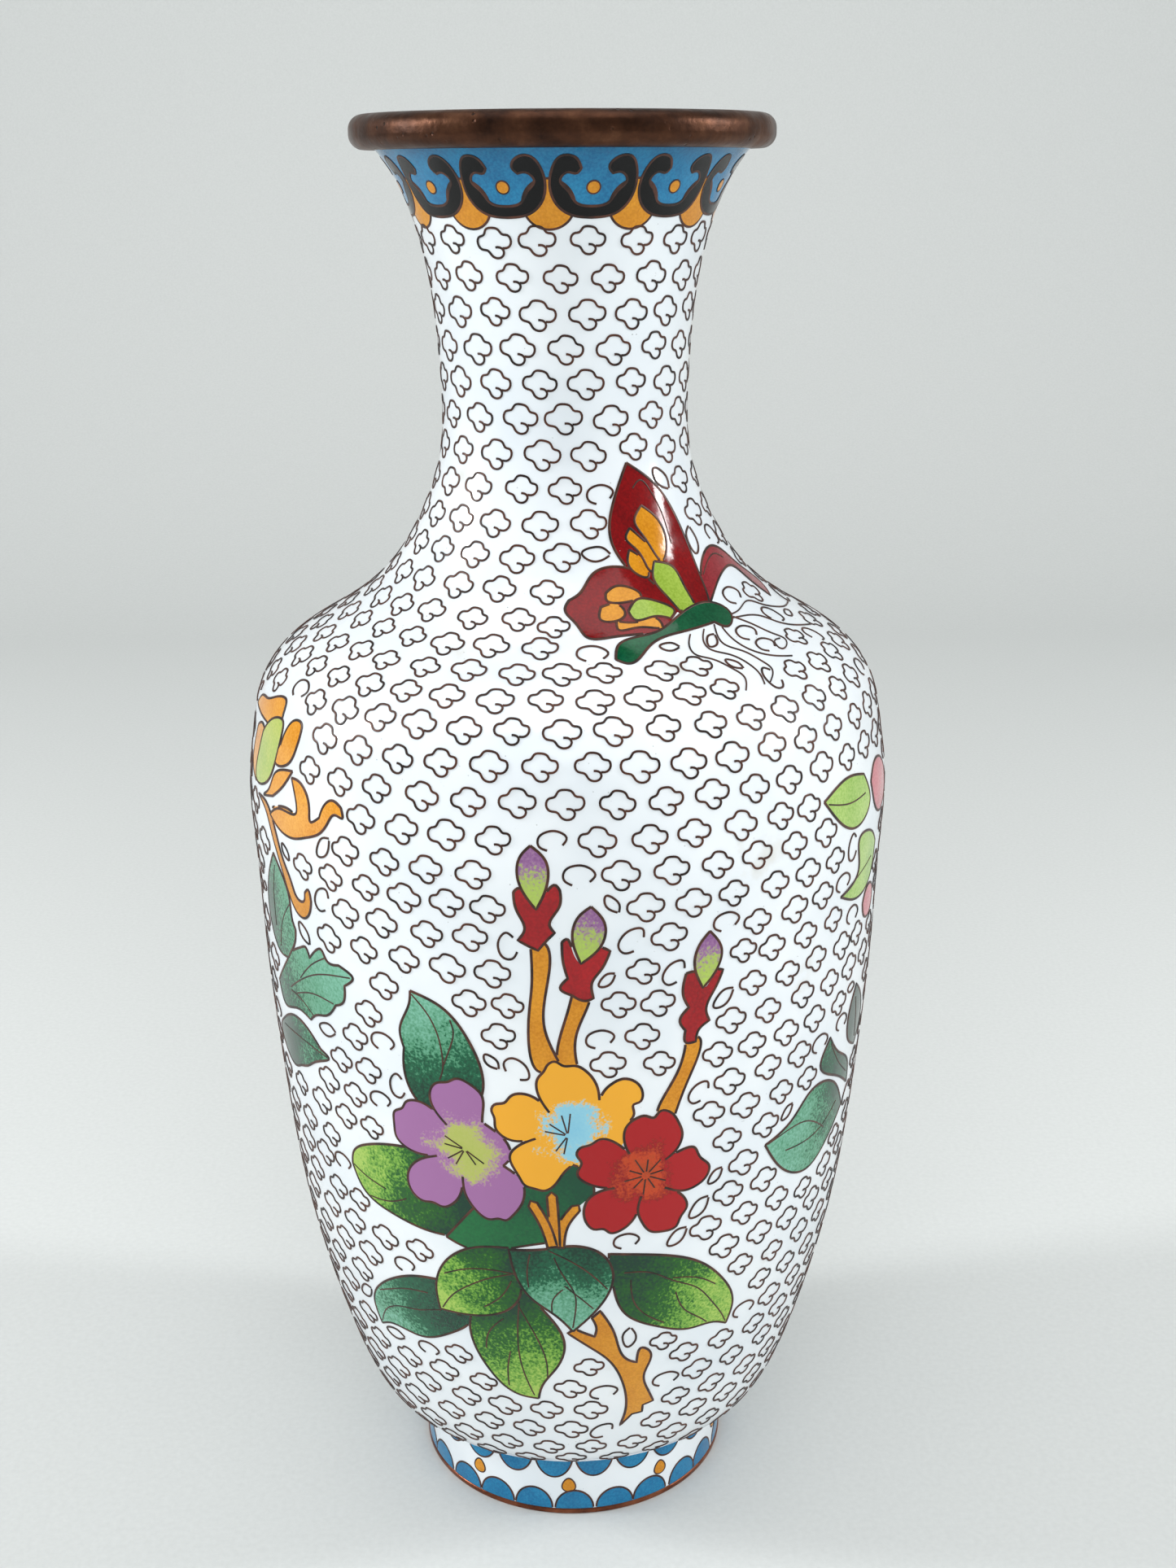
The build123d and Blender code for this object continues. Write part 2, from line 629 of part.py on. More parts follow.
def set_cells(cells, lines, azimuth, wires_name):
    """Write each cell's enamel and the motif's wires; give back the face the motif takes up."""
    taken = []
    wires = []
    for name, faces, veins in cells:
        enamel = []
        for face in faces:
            fenced_face = face if name in unwired else widened(face, wire_width)
            enamel.append(between(face, taken))
            if name not in unwired:
                wires.append(between(fenced_face, [face] + taken))
            taken.append(fenced_face)
        enamel_face = joined(*enamel)
        if veins:
            vein_face = between(joined(*[line(*vein) for vein in veins]), [enamel_face], Mode.INTERSECT)
            enamel_face = between(enamel_face, [vein_face])
            wires.append(vein_face)
        keep_as(name, sunk([enamel_face], azimuth, outer_coat))
    for points in lines:
        wires.append(between(line(*points), taken))
        taken.append(line(*points))
    keep_as(wires_name, sunk(wires, azimuth, outer_coat))
    return joined(*taken)


motifs = [
    (spray, [], 0, "spray_wires"),
    (butterfly, butterfly_lines, 20, "butterfly_wires"),
    (chrysanthemum, [], -55, "chrysanthemum_wires"),
    (peony, [], 55, "peony_wires"),
    (back_blossom, [], 180, "back_wires"),
]

motif_pockets = []
for cells, lines, azimuth, wires_name in motifs:
    taken = set_cells(cells, lines, azimuth, wires_name)
    with BuildPart() as pocket:
        with BuildSketch(facing(azimuth)):
            add(taken)
        extrude(amount=reach)
    motif_pockets.append(pocket.part)

# ---- Collar: heads shaped like a cloud with curled-in ends, and lappets hung between them ----------

pitch = 360 / head_count
collar_seam = 217.4  # drawn heights: where the turquoise meets the white,
collar_foot = 213.5  # below the lappets,
collar_top = 228  # and past the mouth's seat
disc_radius = 0.95
disc_level = 220.3
lappet_radius = 3.7
lappet_level = 217.9
head_side = [
    (0, 215.9), (3.2, 216.4), (5.2, 218), (6.2, 220.6),
    (6.1, 223), (4.9, 225.2), (3.1, 225), (2, 223.2),
]
head_curl = [(2.6, 222.4), (3.8, 222.6), (4.8, 221.4), (3.6, 219.8), (2.4, 218.1)]


def mirrored(points):
    return [(-x, s) for x, s in reversed(points)]


def head(turn=0):
    """A cloud with curled-in ends, open at its top."""
    inner = head_curl + [(0, 217.5)] + mirrored(head_curl)
    return outline(head_side, inner, mirrored(head_side)[:-1], turn=turn)


def lappet(turn=0):
    """A round lappet; the heads beside it cover its sides."""
    points = [
        (lappet_radius * cos(pi / 4 * k), lappet_level + lappet_radius * sin(pi / 4 * k)) for k in range(8)
    ]
    return outline(points[:4], points[4:], turn=turn)


def sector(low, high):
    """One head's share of the collar, between two drawn heights."""
    levels = [low + (high - low) * k / 4 for k in range(5)]
    left = [spot(0, s, -pitch / 2) for s in levels]
    right = [spot(0, s, pitch / 2) for s in levels]
    with BuildSketch() as shape:
        with BuildLine():
            Spline(*left)
            Line(left[-1], right[-1])
            Spline(*right[::-1])
            Line(right[0], left[0])
        make_face()
    return shape.sketch


def ring_of(part, count, start):
    """Copies of a part set at even angles round the vase, the first turned to start degrees."""
    return grouped([Rot(0, 0, start + 360 / count * k) * part for k in range(count)])


def fence_of(face, others=()):
    """The wire that fences off a face, as a band outside it, beside other faces."""
    return between(widened(face, wire_width), [face, *others])


with BuildSketch() as disc_sketch:
    with Locations(spot(0, disc_level)):
        Circle(disc_radius)

disc = disc_sketch.sketch
fenced_disc = widened(disc, wire_width)
fenced_head = widened(head(), wire_width)
heads_beside = [widened(head(turn), wire_width) for turn in (-pitch / 2, pitch / 2)]
lappets_beside = [widened(lappet(turn), wire_width) for turn in (-pitch / 2, pitch / 2)]

collar_wire_faces = [fence_of(head()), fence_of(disc)]
turquoise = between(sector(collar_seam, collar_top), [fenced_head, fenced_disc, *lappets_beside])
white = between(sector(collar_foot, collar_seam), [fenced_head, *lappets_beside])
lappet_turn = head_turn + pitch / 2
head_wires = ring_of(sunk(collar_wire_faces, 0, outer_coat), head_count, head_turn)
lappet_wires = ring_of(sunk([fence_of(lappet(), heads_beside)], 0, outer_coat), head_count, lappet_turn)

keep_as("collar_heads", ring_of(sunk([head()], 0, outer_coat), head_count, head_turn))
keep_as("collar_discs", ring_of(sunk([disc], 0, outer_coat), head_count, head_turn))
keep_as(
    "collar_lappets",
    ring_of(sunk([between(lappet(), heads_beside)], 0, outer_coat), head_count, lappet_turn),
)
keep_as("collar_wires", grouped([head_wires, lappet_wires]))
keep_as("collar_enamel", ring_of(sunk([turquoise], 0, outer_coat), head_count, head_turn))
keep_as("collar_white_enamel", ring_of(sunk([white], 0, outer_coat), head_count, head_turn))

# ---- White ground, with a pocket for every motif ---------------------------------------------------

with BuildPart() as ground_enamel:
    add(shell(0, enamel_wall, 0, spot(0, collar_foot)[1]))
    add(motif_pockets, mode=Mode.SUBTRACT)

keep_as("ground_enamel", ground_enamel.part)

# ---- Foot: two rows of half-round scallops and drops between them ----------------------------------

with BuildPart() as foot_coat:
    with BuildSketch(Plane.XY.offset(flange_height)):
        Circle(foot_enamel_outer)
        Circle(foot_outer, mode=Mode.SUBTRACT)
    extrude(amount=floor_bottom - flange_height)

scallop_pitch = 360 / scallop_count
scallop_radius = pi * foot_enamel_outer / scallop_count - wire_width
drop_radius = 1.15

with BuildSketch() as upper_scallop:
    with Locations((0, foot_height - wire_width)):
        Circle(scallop_radius)
with BuildSketch() as lower_scallop:
    with Locations((0, flange_height)):
        Circle(scallop_radius)
with BuildSketch() as drop:
    with Locations((0, foot_height / 2 - wire_width)):
        Circle(drop_radius)

upper_scallops = ring_of(sunk([upper_scallop.sketch], 0, foot_coat.part), scallop_count, scallop_pitch / 2)
lower_scallops = ring_of(sunk([lower_scallop.sketch], 0, foot_coat.part), scallop_count, 0)
drops = ring_of(sunk([drop.sketch], 0, foot_coat.part), drop_count, 0)

with BuildPart() as foot_enamel:
    add(foot_coat.part)
    add([upper_scallops, lower_scallops, drops], mode=Mode.SUBTRACT)

keep_as("foot_scallops_upper", upper_scallops)
keep_as("foot_scallops_lower", lower_scallops)
keep_as("foot_drops", drops)
keep_as("foot_enamel", foot_enamel.part)
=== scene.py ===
import random
from collections import namedtuple
from math import asin, atan2, cos, pi, radians, sin, tau

import bmesh
import bpy
import numpy as np
from mathutils import Matrix, Vector
from mathutils.geometry import delaunay_2d_cdt


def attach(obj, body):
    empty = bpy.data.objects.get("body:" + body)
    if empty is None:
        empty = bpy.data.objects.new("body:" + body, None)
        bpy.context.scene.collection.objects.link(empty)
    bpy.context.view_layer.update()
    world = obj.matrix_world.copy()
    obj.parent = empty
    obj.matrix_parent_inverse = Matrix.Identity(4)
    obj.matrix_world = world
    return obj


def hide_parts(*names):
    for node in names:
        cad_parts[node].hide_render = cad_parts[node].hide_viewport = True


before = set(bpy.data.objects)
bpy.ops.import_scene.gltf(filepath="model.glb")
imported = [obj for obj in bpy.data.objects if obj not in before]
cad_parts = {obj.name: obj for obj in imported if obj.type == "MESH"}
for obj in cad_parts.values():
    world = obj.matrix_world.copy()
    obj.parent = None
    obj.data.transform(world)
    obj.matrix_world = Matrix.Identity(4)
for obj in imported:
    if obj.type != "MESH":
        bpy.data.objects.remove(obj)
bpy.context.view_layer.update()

# The cloisonne vase's visible surfaces: enamel cells, wires, white ground, collar, foot and rim.
# Sizes are in millimetres, as in the CAD model, and become metres where a mesh is made.

MM = 0.001
random.seed(7)

# ---- The vase's meridian, from the CAD model's sizes -----------------------------------------------

height = 230
mouth_height = 5
mouth_bottom = height - mouth_height
mouth_radius = 32
throat_radius = 28.3
neck_radius = 19.4
belly_radius = 52
edge_radius = 33.4
edge_height = 15.6
foot_radius = 27
foot_height = 12.2
flange_height = 1
enamel_wall = 0.8
belly_height = 0.568 * height
waist_height = 0.838 * height
overrun = 1.4

belly_knots = [
    (0.05, 0.21), (0.12, 0.37), (0.23, 0.56), (0.35, 0.715),
    (0.48, 0.82), (0.61, 0.895), (0.74, 0.95), (0.88, 0.985),
]
shoulder_knots = [
    (0.11, 0.03), (0.21, 0.07), (0.305, 0.195), (0.4, 0.47),
    (0.515, 0.735), (0.645, 0.89), (0.8, 0.99),
]
throat_knots = [(0.37, 0.115), (0.71, 0.41), (0.92, 0.77)]


def stretch(start, end, knots):
    """Points from start up to end, by the share of the climb and of the change of radius."""
    widening = end[0] - start[0]
    climb = end[1] - start[1]
    return [start] + [(start[0] + widening * wider, start[1] + climb * up) for up, wider in knots]


def smooth(points, step=0.4):
    """Points about a step apart on a natural cubic spline through the given points."""
    knots = np.array(points, dtype=float)
    gaps = np.maximum(np.hypot(*np.diff(knots, axis=0).T), 1e-6)
    along = np.concatenate([[0], np.cumsum(gaps)])
    count = len(knots)
    matrix = np.eye(count)
    right = np.zeros((count, 2))
    for i in range(1, count - 1):
        matrix[i, i - 1:i + 2] = gaps[i - 1], 2 * (gaps[i - 1] + gaps[i]), gaps[i]
        right[i] = 6 * ((knots[i + 1] - knots[i]) / gaps[i] - (knots[i] - knots[i - 1]) / gaps[i - 1])
    bend = np.linalg.solve(matrix, right)
    places = np.linspace(0, along[-1], max(2, int(along[-1] / step) + 1))
    span = np.clip(np.searchsorted(along, places) - 1, 0, count - 2)
    gap = gaps[span][:, None]
    before = (places - along[span])[:, None]
    after = gap - before
    return (
        (bend[span] * after**3 + bend[span + 1] * before**3) / (6 * gap)
        + (knots[span] / gap - bend[span] * gap / 6) * after
        + (knots[span + 1] / gap - bend[span + 1] * gap / 6) * before
    )


meridian = smooth(
    stretch((foot_radius + 0.2, foot_height), (edge_radius, edge_height), [(0.35, 0.45)])
    + stretch((edge_radius, edge_height), (belly_radius, belly_height), belly_knots)
    + stretch((belly_radius, belly_height), (neck_radius, waist_height), shoulder_knots)
    + stretch((neck_radius, waist_height), (throat_radius, mouth_bottom), throat_knots)
    + [(throat_radius, mouth_bottom), (throat_radius + overrun, mouth_bottom + overrun)],
    step=0.25,
)
steps = np.hypot(*np.diff(meridian, axis=0).T)
drawn_edge = 7.1  # s = 0 lies this far along the meridian
climbed = np.concatenate([[0], np.cumsum(steps)]) - drawn_edge
slope = np.gradient(meridian, axis=0)
slope /= np.hypot(slope[:, 0], slope[:, 1])[:, None]
rim_s = float(np.interp(mouth_bottom, meridian[:, 1], climbed))


def radius_at(s):
    return np.interp(s, climbed, meridian[:, 0])


def on_surface(x, s, azimuth, depth):
    """Points in metres for x round and s up the surface, sunk below it by depth."""
    radius = radius_at(s)
    level = np.interp(s, climbed, meridian[:, 1])
    outward_r = np.interp(s, climbed, slope[:, 1])
    outward_z = -np.interp(s, climbed, slope[:, 0])
    turn = radians(azimuth) + x / radius
    sunk_radius = radius - depth * outward_r
    sunk_level = level - depth * outward_z
    return np.stack([sunk_radius * np.sin(turn), -sunk_radius * np.cos(turn), sunk_level], axis=-1) * MM


# ---- Meshes ------------------------------------------------------------------------------------------

TOP = 0.0  # depths below the CAD surface
CELL_TOP = 0.05
GROUND_TOP = 0.15
WIRE_FOOT = 0.17
wire_width = 0.4


def add_piece(name, vertices, faces, material, nodes, slot):
    """A smooth closed piece that rides on the vase and stands for CAD nodes."""
    mesh = bpy.data.meshes.new(name)
    mesh.from_pydata([tuple(v) for v in vertices], [], faces)
    mesh.validate()
    form = bmesh.new()
    form.from_mesh(mesh)
    bmesh.ops.recalc_face_normals(form, faces=form.faces)
    form.to_mesh(mesh)
    form.free()
    mesh.shade_smooth()
    mesh.set_sharp_from_angle(angle=radians(40))
    piece = bpy.data.objects.new(name, mesh)
    bpy.context.scene.collection.objects.link(piece)
    mesh.materials.append(material)
    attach(piece, "root")
    if nodes:
        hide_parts(*nodes)
    return piece


def lathe(section, segments=288, wobble=0.0):
    """Vertices and faces of a closed ring with a section of (radius, level) points, in mm."""
    count = len(section)
    vertices = []
    for k in range(segments):
        turn = tau * k / segments
        swell = wobble * (sin(3 * turn + 0.7) + 0.6 * sin(7 * turn) + 0.4 * sin(13 * turn + 2))
        for radius, level in section:
            vertices.append(((radius + swell) * sin(turn) * MM, -(radius + swell) * cos(turn) * MM, level * MM))
    faces = []
    for k in range(segments):
        here, there = k * count, (k + 1) % segments * count
        for i in range(count):
            j = (i + 1) % count
            faces.append((here + i, here + j, there + j, there + i))
    return vertices, faces


def disc_lathe(section, segments=192):
    """As lathe, for a section whose first and last points lie on the axis."""
    vertices, faces = [], []
    inner = section[1:-1]
    count = len(inner)
    for k in range(segments):
        turn = tau * k / segments
        vertices += [(radius * sin(turn) * MM, -radius * cos(turn) * MM, level * MM) for radius, level in inner]
    first, last = len(vertices), len(vertices) + 1
    vertices += [(0, 0, section[0][1] * MM), (0, 0, section[-1][1] * MM)]
    for k in range(segments):
        here, there = k * count, (k + 1) % segments * count
        faces += [(here + i, here + i + 1, there + i + 1, there + i) for i in range(count - 1)]
        faces.append((first, here, there))
        faces.append((last, there + count - 1, here + count - 1))
    return vertices, faces


def coat_section(outer_depth, inner_depth, bottom_s, top_s, step=1.0):
    """A section of the coat between two depths and two heights on the meridian."""
    stations = np.linspace(bottom_s, top_s, int((top_s - bottom_s) / step) + 2)
    outer = on_surface(np.zeros_like(stations), stations, 0, outer_depth) / MM
    inner = on_surface(np.zeros_like(stations), stations[::-1], 0, inner_depth) / MM
    return [(-y, z) for _, y, z in outer] + [(-y, z) for _, y, z in inner]


def strip(path, azimuth, width, foot=WIRE_FOOT, top=TOP, closed=False):
    """Vertices and faces of a wire with a rounded top along (x, s) points."""
    path = np.array(path)
    if closed:
        along = np.roll(path, -1, axis=0) - np.roll(path, 1, axis=0)
    else:
        along = np.gradient(path, axis=0)
    along /= np.maximum(np.hypot(along[:, 0], along[:, 1]), 1e-9)[:, None]
    across = np.stack([-along[:, 1], along[:, 0]], axis=-1)
    shoulder = top + 0.03
    ring = [(-0.5, foot), (-0.5, shoulder), (-0.25, top), (0.25, top), (0.5, shoulder), (0.5, foot)]
    rows = []
    for share, depth in ring:
        moved = path + across * share * width
        rows.append(on_surface(moved[:, 0], moved[:, 1], azimuth, depth))
    vertices = np.stack(rows, axis=1).reshape(-1, 3)
    size, count = len(ring), len(path)
    faces = []
    for k in range(count if closed else count - 1):
        here, there = k * size, (k + 1) % count * size
        faces += [(here + i, here + (i + 1) % size, there + (i + 1) % size, there + i) for i in range(size)]
    if not closed:
        faces.append(tuple(range(size))[::-1])
        faces.append(tuple(range((count - 1) * size, count * size)))
    return vertices, faces


def pooled(parts):
    """Several (vertices, faces) as one."""
    vertices, faces, start = [], [], 0
    for part_vertices, part_faces in parts:
        vertices.append(np.array(part_vertices))
        faces += [tuple(start + i for i in face) for face in part_faces]
        start += len(part_vertices)
    return np.concatenate(vertices), faces


# ---- Drawing: outlines in (x, s), each with the wires that fence it ------------------------------------

Shape = namedtuple("Shape", "edge fences")


def outline(*runs):
    """A closed shape of smooth runs, with a corner where each run starts."""
    sides = [smooth(run + following[:1])[:-1] for run, following in zip(runs, runs[1:] + runs[:1])]
    edge = np.concatenate(sides)
    return Shape(edge, [np.concatenate([edge, edge[:1]])])


def petals(centre, *runs):
    """The petals round a centre; wires follow only their outer edges."""
    shapes = []
    for run, following in zip(runs, runs[1:] + runs[:1]):
        side = smooth(run + following[:1])
        spokes = np.concatenate([side, smooth([tuple(side[-1]), centre])[1:], smooth([centre, run[0]])[1:-1]])
        shapes.append(Shape(spokes, [side]))
    return shapes


def stroke(points, width):
    """A rounded bar along a smooth line."""
    path = smooth(points)
    along = np.gradient(path, axis=0)
    along /= np.hypot(along[:, 0], along[:, 1])[:, None]
    across = np.stack([-along[:, 1], along[:, 0]], axis=-1) * width / 2
    end = path[-1] + along[-1] * width / 2
    edge = np.concatenate([path + across, [end], (path - across)[::-1]])
    return Shape(edge, [np.concatenate([edge, edge[:1]])])


def unfenced(shape):
    return Shape(shape.edge, [])


def petal(x, s, direction, length, breadth):
    """A notched petal that starts at (x, s) and points along direction, in degrees from +x."""
    half = breadth / 2
    side = [(0, 0), (0.35 * length, 0.75 * half), (0.72 * length, half), (0.95 * length, 0.62 * half)]
    other_side = [(along, -across) for along, across in reversed(side[1:])]
    turn = radians(direction)
    points = [
        (x + along * cos(turn) - across * sin(turn), s + along * sin(turn) + across * cos(turn))
        for along, across in side + [(0.97 * length, 0)] + other_side
    ]
    return outline(points[:4], points[4:])


def round_shape(x, s, radius, count=48):
    turns = np.linspace(0, tau, count, endpoint=False)
    edge = np.stack([x + radius * np.cos(turns), s + radius * np.sin(turns)], axis=-1)
    return Shape(edge, [np.concatenate([edge, edge[:1]])])


def inside(points, edge):
    """Which points lie inside a closed outline."""
    points = np.asarray(points)
    result = np.zeros(len(points), dtype=bool)
    low, high = edge.min(axis=0), edge.max(axis=0)
    near = np.where(((points >= low) & (points <= high)).all(axis=1))[0]
    if not len(near):
        return result
    x, y = points[near, 0][:, None], points[near, 1][:, None]
    x0, y0 = edge[:, 0][None], edge[:, 1][None]
    x1, y1 = np.roll(edge[:, 0], -1)[None], np.roll(edge[:, 1], -1)[None]
    rises = (y0 > y) != (y1 > y)
    with np.errstate(divide="ignore", invalid="ignore"):
        crossings = rises & (x < (x1 - x0) * (y - y0) / (y1 - y0) + x0)
    result[near] = crossings.sum(axis=1) % 2 == 1
    return result


def nearness(points, edge):
    """The distance from each point to the nearest of an outline's points."""
    gaps = points[:, None, :] - edge[None, :, :]
    return np.hypot(gaps[..., 0], gaps[..., 1]).min(axis=1)


def visible_runs(fence, front):
    """The stretches of a fence that no shape in front hides or already fences."""
    hidden = np.zeros(len(fence), dtype=bool)
    for shape in front:
        low, high = shape.edge.min(axis=0) - 0.5, shape.edge.max(axis=0) + 0.5
        if (fence.max(axis=0) < low).any() or (fence.min(axis=0) > high).any():
            continue
        hidden |= inside(fence, shape.edge)
        if shape.fences:
            hidden |= nearness(fence, shape.edge) < 0.42
    runs, start = [], None
    for i, covered in enumerate(list(hidden) + [True]):
        if not covered and start is None:
            start = i
        if covered and start is not None:
            first, last = max(start - 1, 0), min(i + 1, len(fence))
            if i - start >= 2:
                runs.append(fence[first:last])
            start = None
    return runs


def tiles(shapes_by_cell, azimuth, top=CELL_TOP, foot=GROUND_TOP - 0.002, grid=1.3):
    """One closed tile mesh for each cell, cut so that no cell overlaps one in front of it."""
    points, loops = [], []
    for shapes in shapes_by_cell:
        for shape in shapes:
            edge = shape.edge
            area = np.sum(edge[:, 0] * np.roll(edge[:, 1], -1) - np.roll(edge[:, 0], -1) * edge[:, 1])
            loop = list(range(len(points), len(points) + len(edge)))
            points += [Vector(p) for p in edge]
            loops.append(loop if area > 0 else loop[::-1])
    corners = np.array([tuple(p) for p in points])
    low, high = corners.min(axis=0), corners.max(axis=0)
    mesh_points = np.array([
        (x + (row % 2) * grid / 2, y)
        for row, y in enumerate(np.arange(low[1], high[1], grid * 0.87))
        for x in np.arange(low[0], high[0], grid)
    ])
    covered = np.zeros(len(mesh_points), dtype=bool)
    for shapes in shapes_by_cell:
        for shape in shapes:
            covered |= inside(mesh_points, shape.edge)
    points += [Vector(p) for p in mesh_points[covered]]
    flat, _, triangles, _, _, _ = delaunay_2d_cdt(points, [], loops, 1, 1e-4)
    flat = np.array([tuple(p) for p in flat])
    triangles = np.array(triangles)
    middles = flat[triangles].mean(axis=1)
    free = np.ones(len(triangles), dtype=bool)
    result = []
    for shapes in shapes_by_cell:
        mine = np.zeros(len(triangles), dtype=bool)
        for shape in shapes:
            mine |= inside(middles, shape.edge)
        mine &= free
        free &= ~mine
        result.append([tuple(int(i) for i in triangle) for triangle in triangles[mine]])
    meshes = []
    for cell in result:
        used = sorted({i for triangle in cell for i in triangle})
        place = {vertex: k for k, vertex in enumerate(used)}
        here = flat[used]
        upper = on_surface(here[:, 0], here[:, 1], azimuth, top)
        lower = on_surface(here[:, 0], here[:, 1], azimuth, foot)
        count = len(used)
        faces, rims = [], {}
        for triangle in cell:
            a, b, c = (place[i] for i in triangle)
            faces += [(a, b, c), (count + c, count + b, count + a)]
            for edge in ((a, b), (b, c), (c, a)):
                rims[edge] = True
        faces += [(b, a, count + a, count + b) for a, b in rims if (b, a) not in rims]
        meshes.append((np.concatenate([upper, lower]), faces))
    return meshes


# ---- Materials: fired enamel, drawn wire and patinated copper, all procedural ----------------------------


class Looks:
    """A node tree under construction."""

    def __init__(self, name):
        self.material = bpy.data.materials.new(name)
        self.material.use_nodes = True
        self.tree = self.material.node_tree
        self.shader = self.tree.nodes["Principled BSDF"]
        self.place = self.add("ShaderNodeTexCoord").outputs["Object"]

    def add(self, kind, settings=None, **inputs):
        node = self.tree.nodes.new(kind)
        for key, value in (settings or {}).items():
            setattr(node, key, value)
        for key, value in inputs.items():
            self.give(node, key.replace("_", " "), value)
        return node

    def give(self, node, key, value):
        socket = node.inputs[int(key)] if key.isdigit() else node.inputs[key]
        if isinstance(value, bpy.types.NodeSocket):
            self.tree.links.new(value, socket)
        else:
            socket.default_value = value

    def noise(self, scale, detail=3.0, roughness=0.55):
        node = self.add("ShaderNodeTexNoise", Vector=self.place, Scale=scale, Detail=detail, Roughness=roughness)
        return node.outputs["Fac"]

    def dots(self, scale, low, high):
        """1 in scattered dots, 0 elsewhere."""
        cells = self.add("ShaderNodeTexVoronoi", Vector=self.place, Scale=scale)
        return self.remap(cells.outputs["Distance"], low, high, 1.0, 0.0)

    def math(self, operation, first, second):
        node = self.add("ShaderNodeMath", {"operation": operation})
        self.give(node, "0", first)
        self.give(node, "1", second)
        return node.outputs[0]

    def remap(self, value, low, high, to_low=0.0, to_high=1.0):
        node = self.add("ShaderNodeMapRange", Value=value)
        node.inputs["From Min"].default_value = low
        node.inputs["From Max"].default_value = high
        node.inputs["To Min"].default_value = to_low
        node.inputs["To Max"].default_value = to_high
        return node.outputs["Result"]

    def ramp(self, value, stops):
        node = self.add("ShaderNodeValToRGB", Fac=value)
        while len(node.color_ramp.elements) < len(stops):
            node.color_ramp.elements.new(0.5)
        for element, (position, colour) in zip(node.color_ramp.elements, stops):
            element.position = position
            element.color = (*linear(colour), 1)
        return node.outputs["Color"]

    def mix(self, share, first, second, blend="MIX"):
        node = self.add("ShaderNodeMix", {"data_type": "RGBA", "blend_type": blend})
        for key, value in (("Factor", share), ("A", first), ("B", second)):
            socket = next(i for i in node.inputs if i.name == key and i.enabled)
            if isinstance(value, bpy.types.NodeSocket):
                self.tree.links.new(value, socket)
            else:
                socket.default_value = value if key == "Factor" else (*linear(value), 1)
        return next(o for o in node.outputs if o.enabled)

    def bump(self, *layers):
        """Chain of bumps, each a (height, strength, distance in metres)."""
        normal = None
        for value, strength, distance in layers:
            node = self.add("ShaderNodeBump", Height=value, Strength=strength, Distance=distance)
            if normal:
                self.tree.links.new(normal, node.inputs["Normal"])
            normal = node.outputs["Normal"]
        self.tree.links.new(normal, self.shader.inputs["Normal"])

    def finish(self, colour, roughness, **constants):
        self.give(self.shader, "Base Color", colour)
        self.give(self.shader, "Roughness", roughness)
        for key, value in constants.items():
            self.give(self.shader, key.replace("_", " "), value)
        return self.material


def linear(colour):
    """A 0-255 screen colour as scene-linear values."""
    return tuple(((c / 255 + 0.055) / 1.055) ** 2.4 if c > 10 else c / 255 / 12.92 for c in colour)


def enamel_surface(looks, colour, pits=0.5, gloss=0.36):
    """Adds the glassy relief, pinholes and patchy gloss that fired and polished enamel has."""
    pinholes = looks.dots(900.0, 0.02, 0.11)
    sparse = looks.math("MULTIPLY", pinholes, looks.remap(looks.noise(140.0), 0.56, 0.66))
    pitted = looks.mix(looks.math("MULTIPLY", sparse, pits), colour, (70, 62, 56))
    looks.bump(
        (looks.noise(90.0, detail=1.0), 0.25, 0.0006),
        (looks.noise(420.0, detail=2.0), 0.10, 0.0003),
        (looks.math("MULTIPLY", sparse, -1.0), 0.5, 0.0002),
    )
    roughness = looks.remap(looks.noise(260.0), 0.35, 0.75, 0.07, 0.20)
    return looks.finish(pitted, roughness, Coat_Weight=0.1, Coat_Roughness=0.05, Specular_IOR_Level=gloss)


def plain_enamel(name, dark, light, grain=0.5, pits=0.5, gloss=0.36):
    """One enamel colour with cloudy patches and fine powdery grain."""
    looks = Looks(name)
    patches = looks.remap(looks.noise(160.0), 0.35, 0.65)
    powder = looks.remap(looks.noise(2600.0, detail=1.0), 0.35, 0.65)
    share = looks.math("ADD", looks.math("MULTIPLY", patches, 1 - grain), looks.math("MULTIPLY", powder, grain))
    return enamel_surface(looks, looks.mix(share, dark, light), pits, gloss)


def shaded_enamel(name, start, end, stops, azimuth, grain=0.24, pits=0.5):
    """Enamel whose colours run from one drawn point to another and meet in a grainy transition."""
    looks = Looks(name)
    first = on_surface(np.array(start[0]), np.array(start[1]), azimuth, 0)
    second = on_surface(np.array(end[0]), np.array(end[1]), azimuth, 0)
    run = second - first
    offset = looks.add("ShaderNodeVectorMath", {"operation": "SUBTRACT"})
    looks.tree.links.new(looks.place, offset.inputs[0])
    offset.inputs[1].default_value = first
    along = looks.add("ShaderNodeVectorMath", {"operation": "DOT_PRODUCT"})
    looks.tree.links.new(offset.outputs[0], along.inputs[0])
    along.inputs[1].default_value = run / float(run @ run)
    powder = looks.remap(looks.noise(2200.0, detail=2.0), 0.3, 0.7, -grain, grain)
    drift = looks.remap(looks.noise(170.0), 0.3, 0.7, -0.16, 0.16)
    place = looks.math("ADD", along.outputs["Value"], looks.math("ADD", powder, drift))
    return enamel_surface(looks, looks.ramp(place, stops), pits)


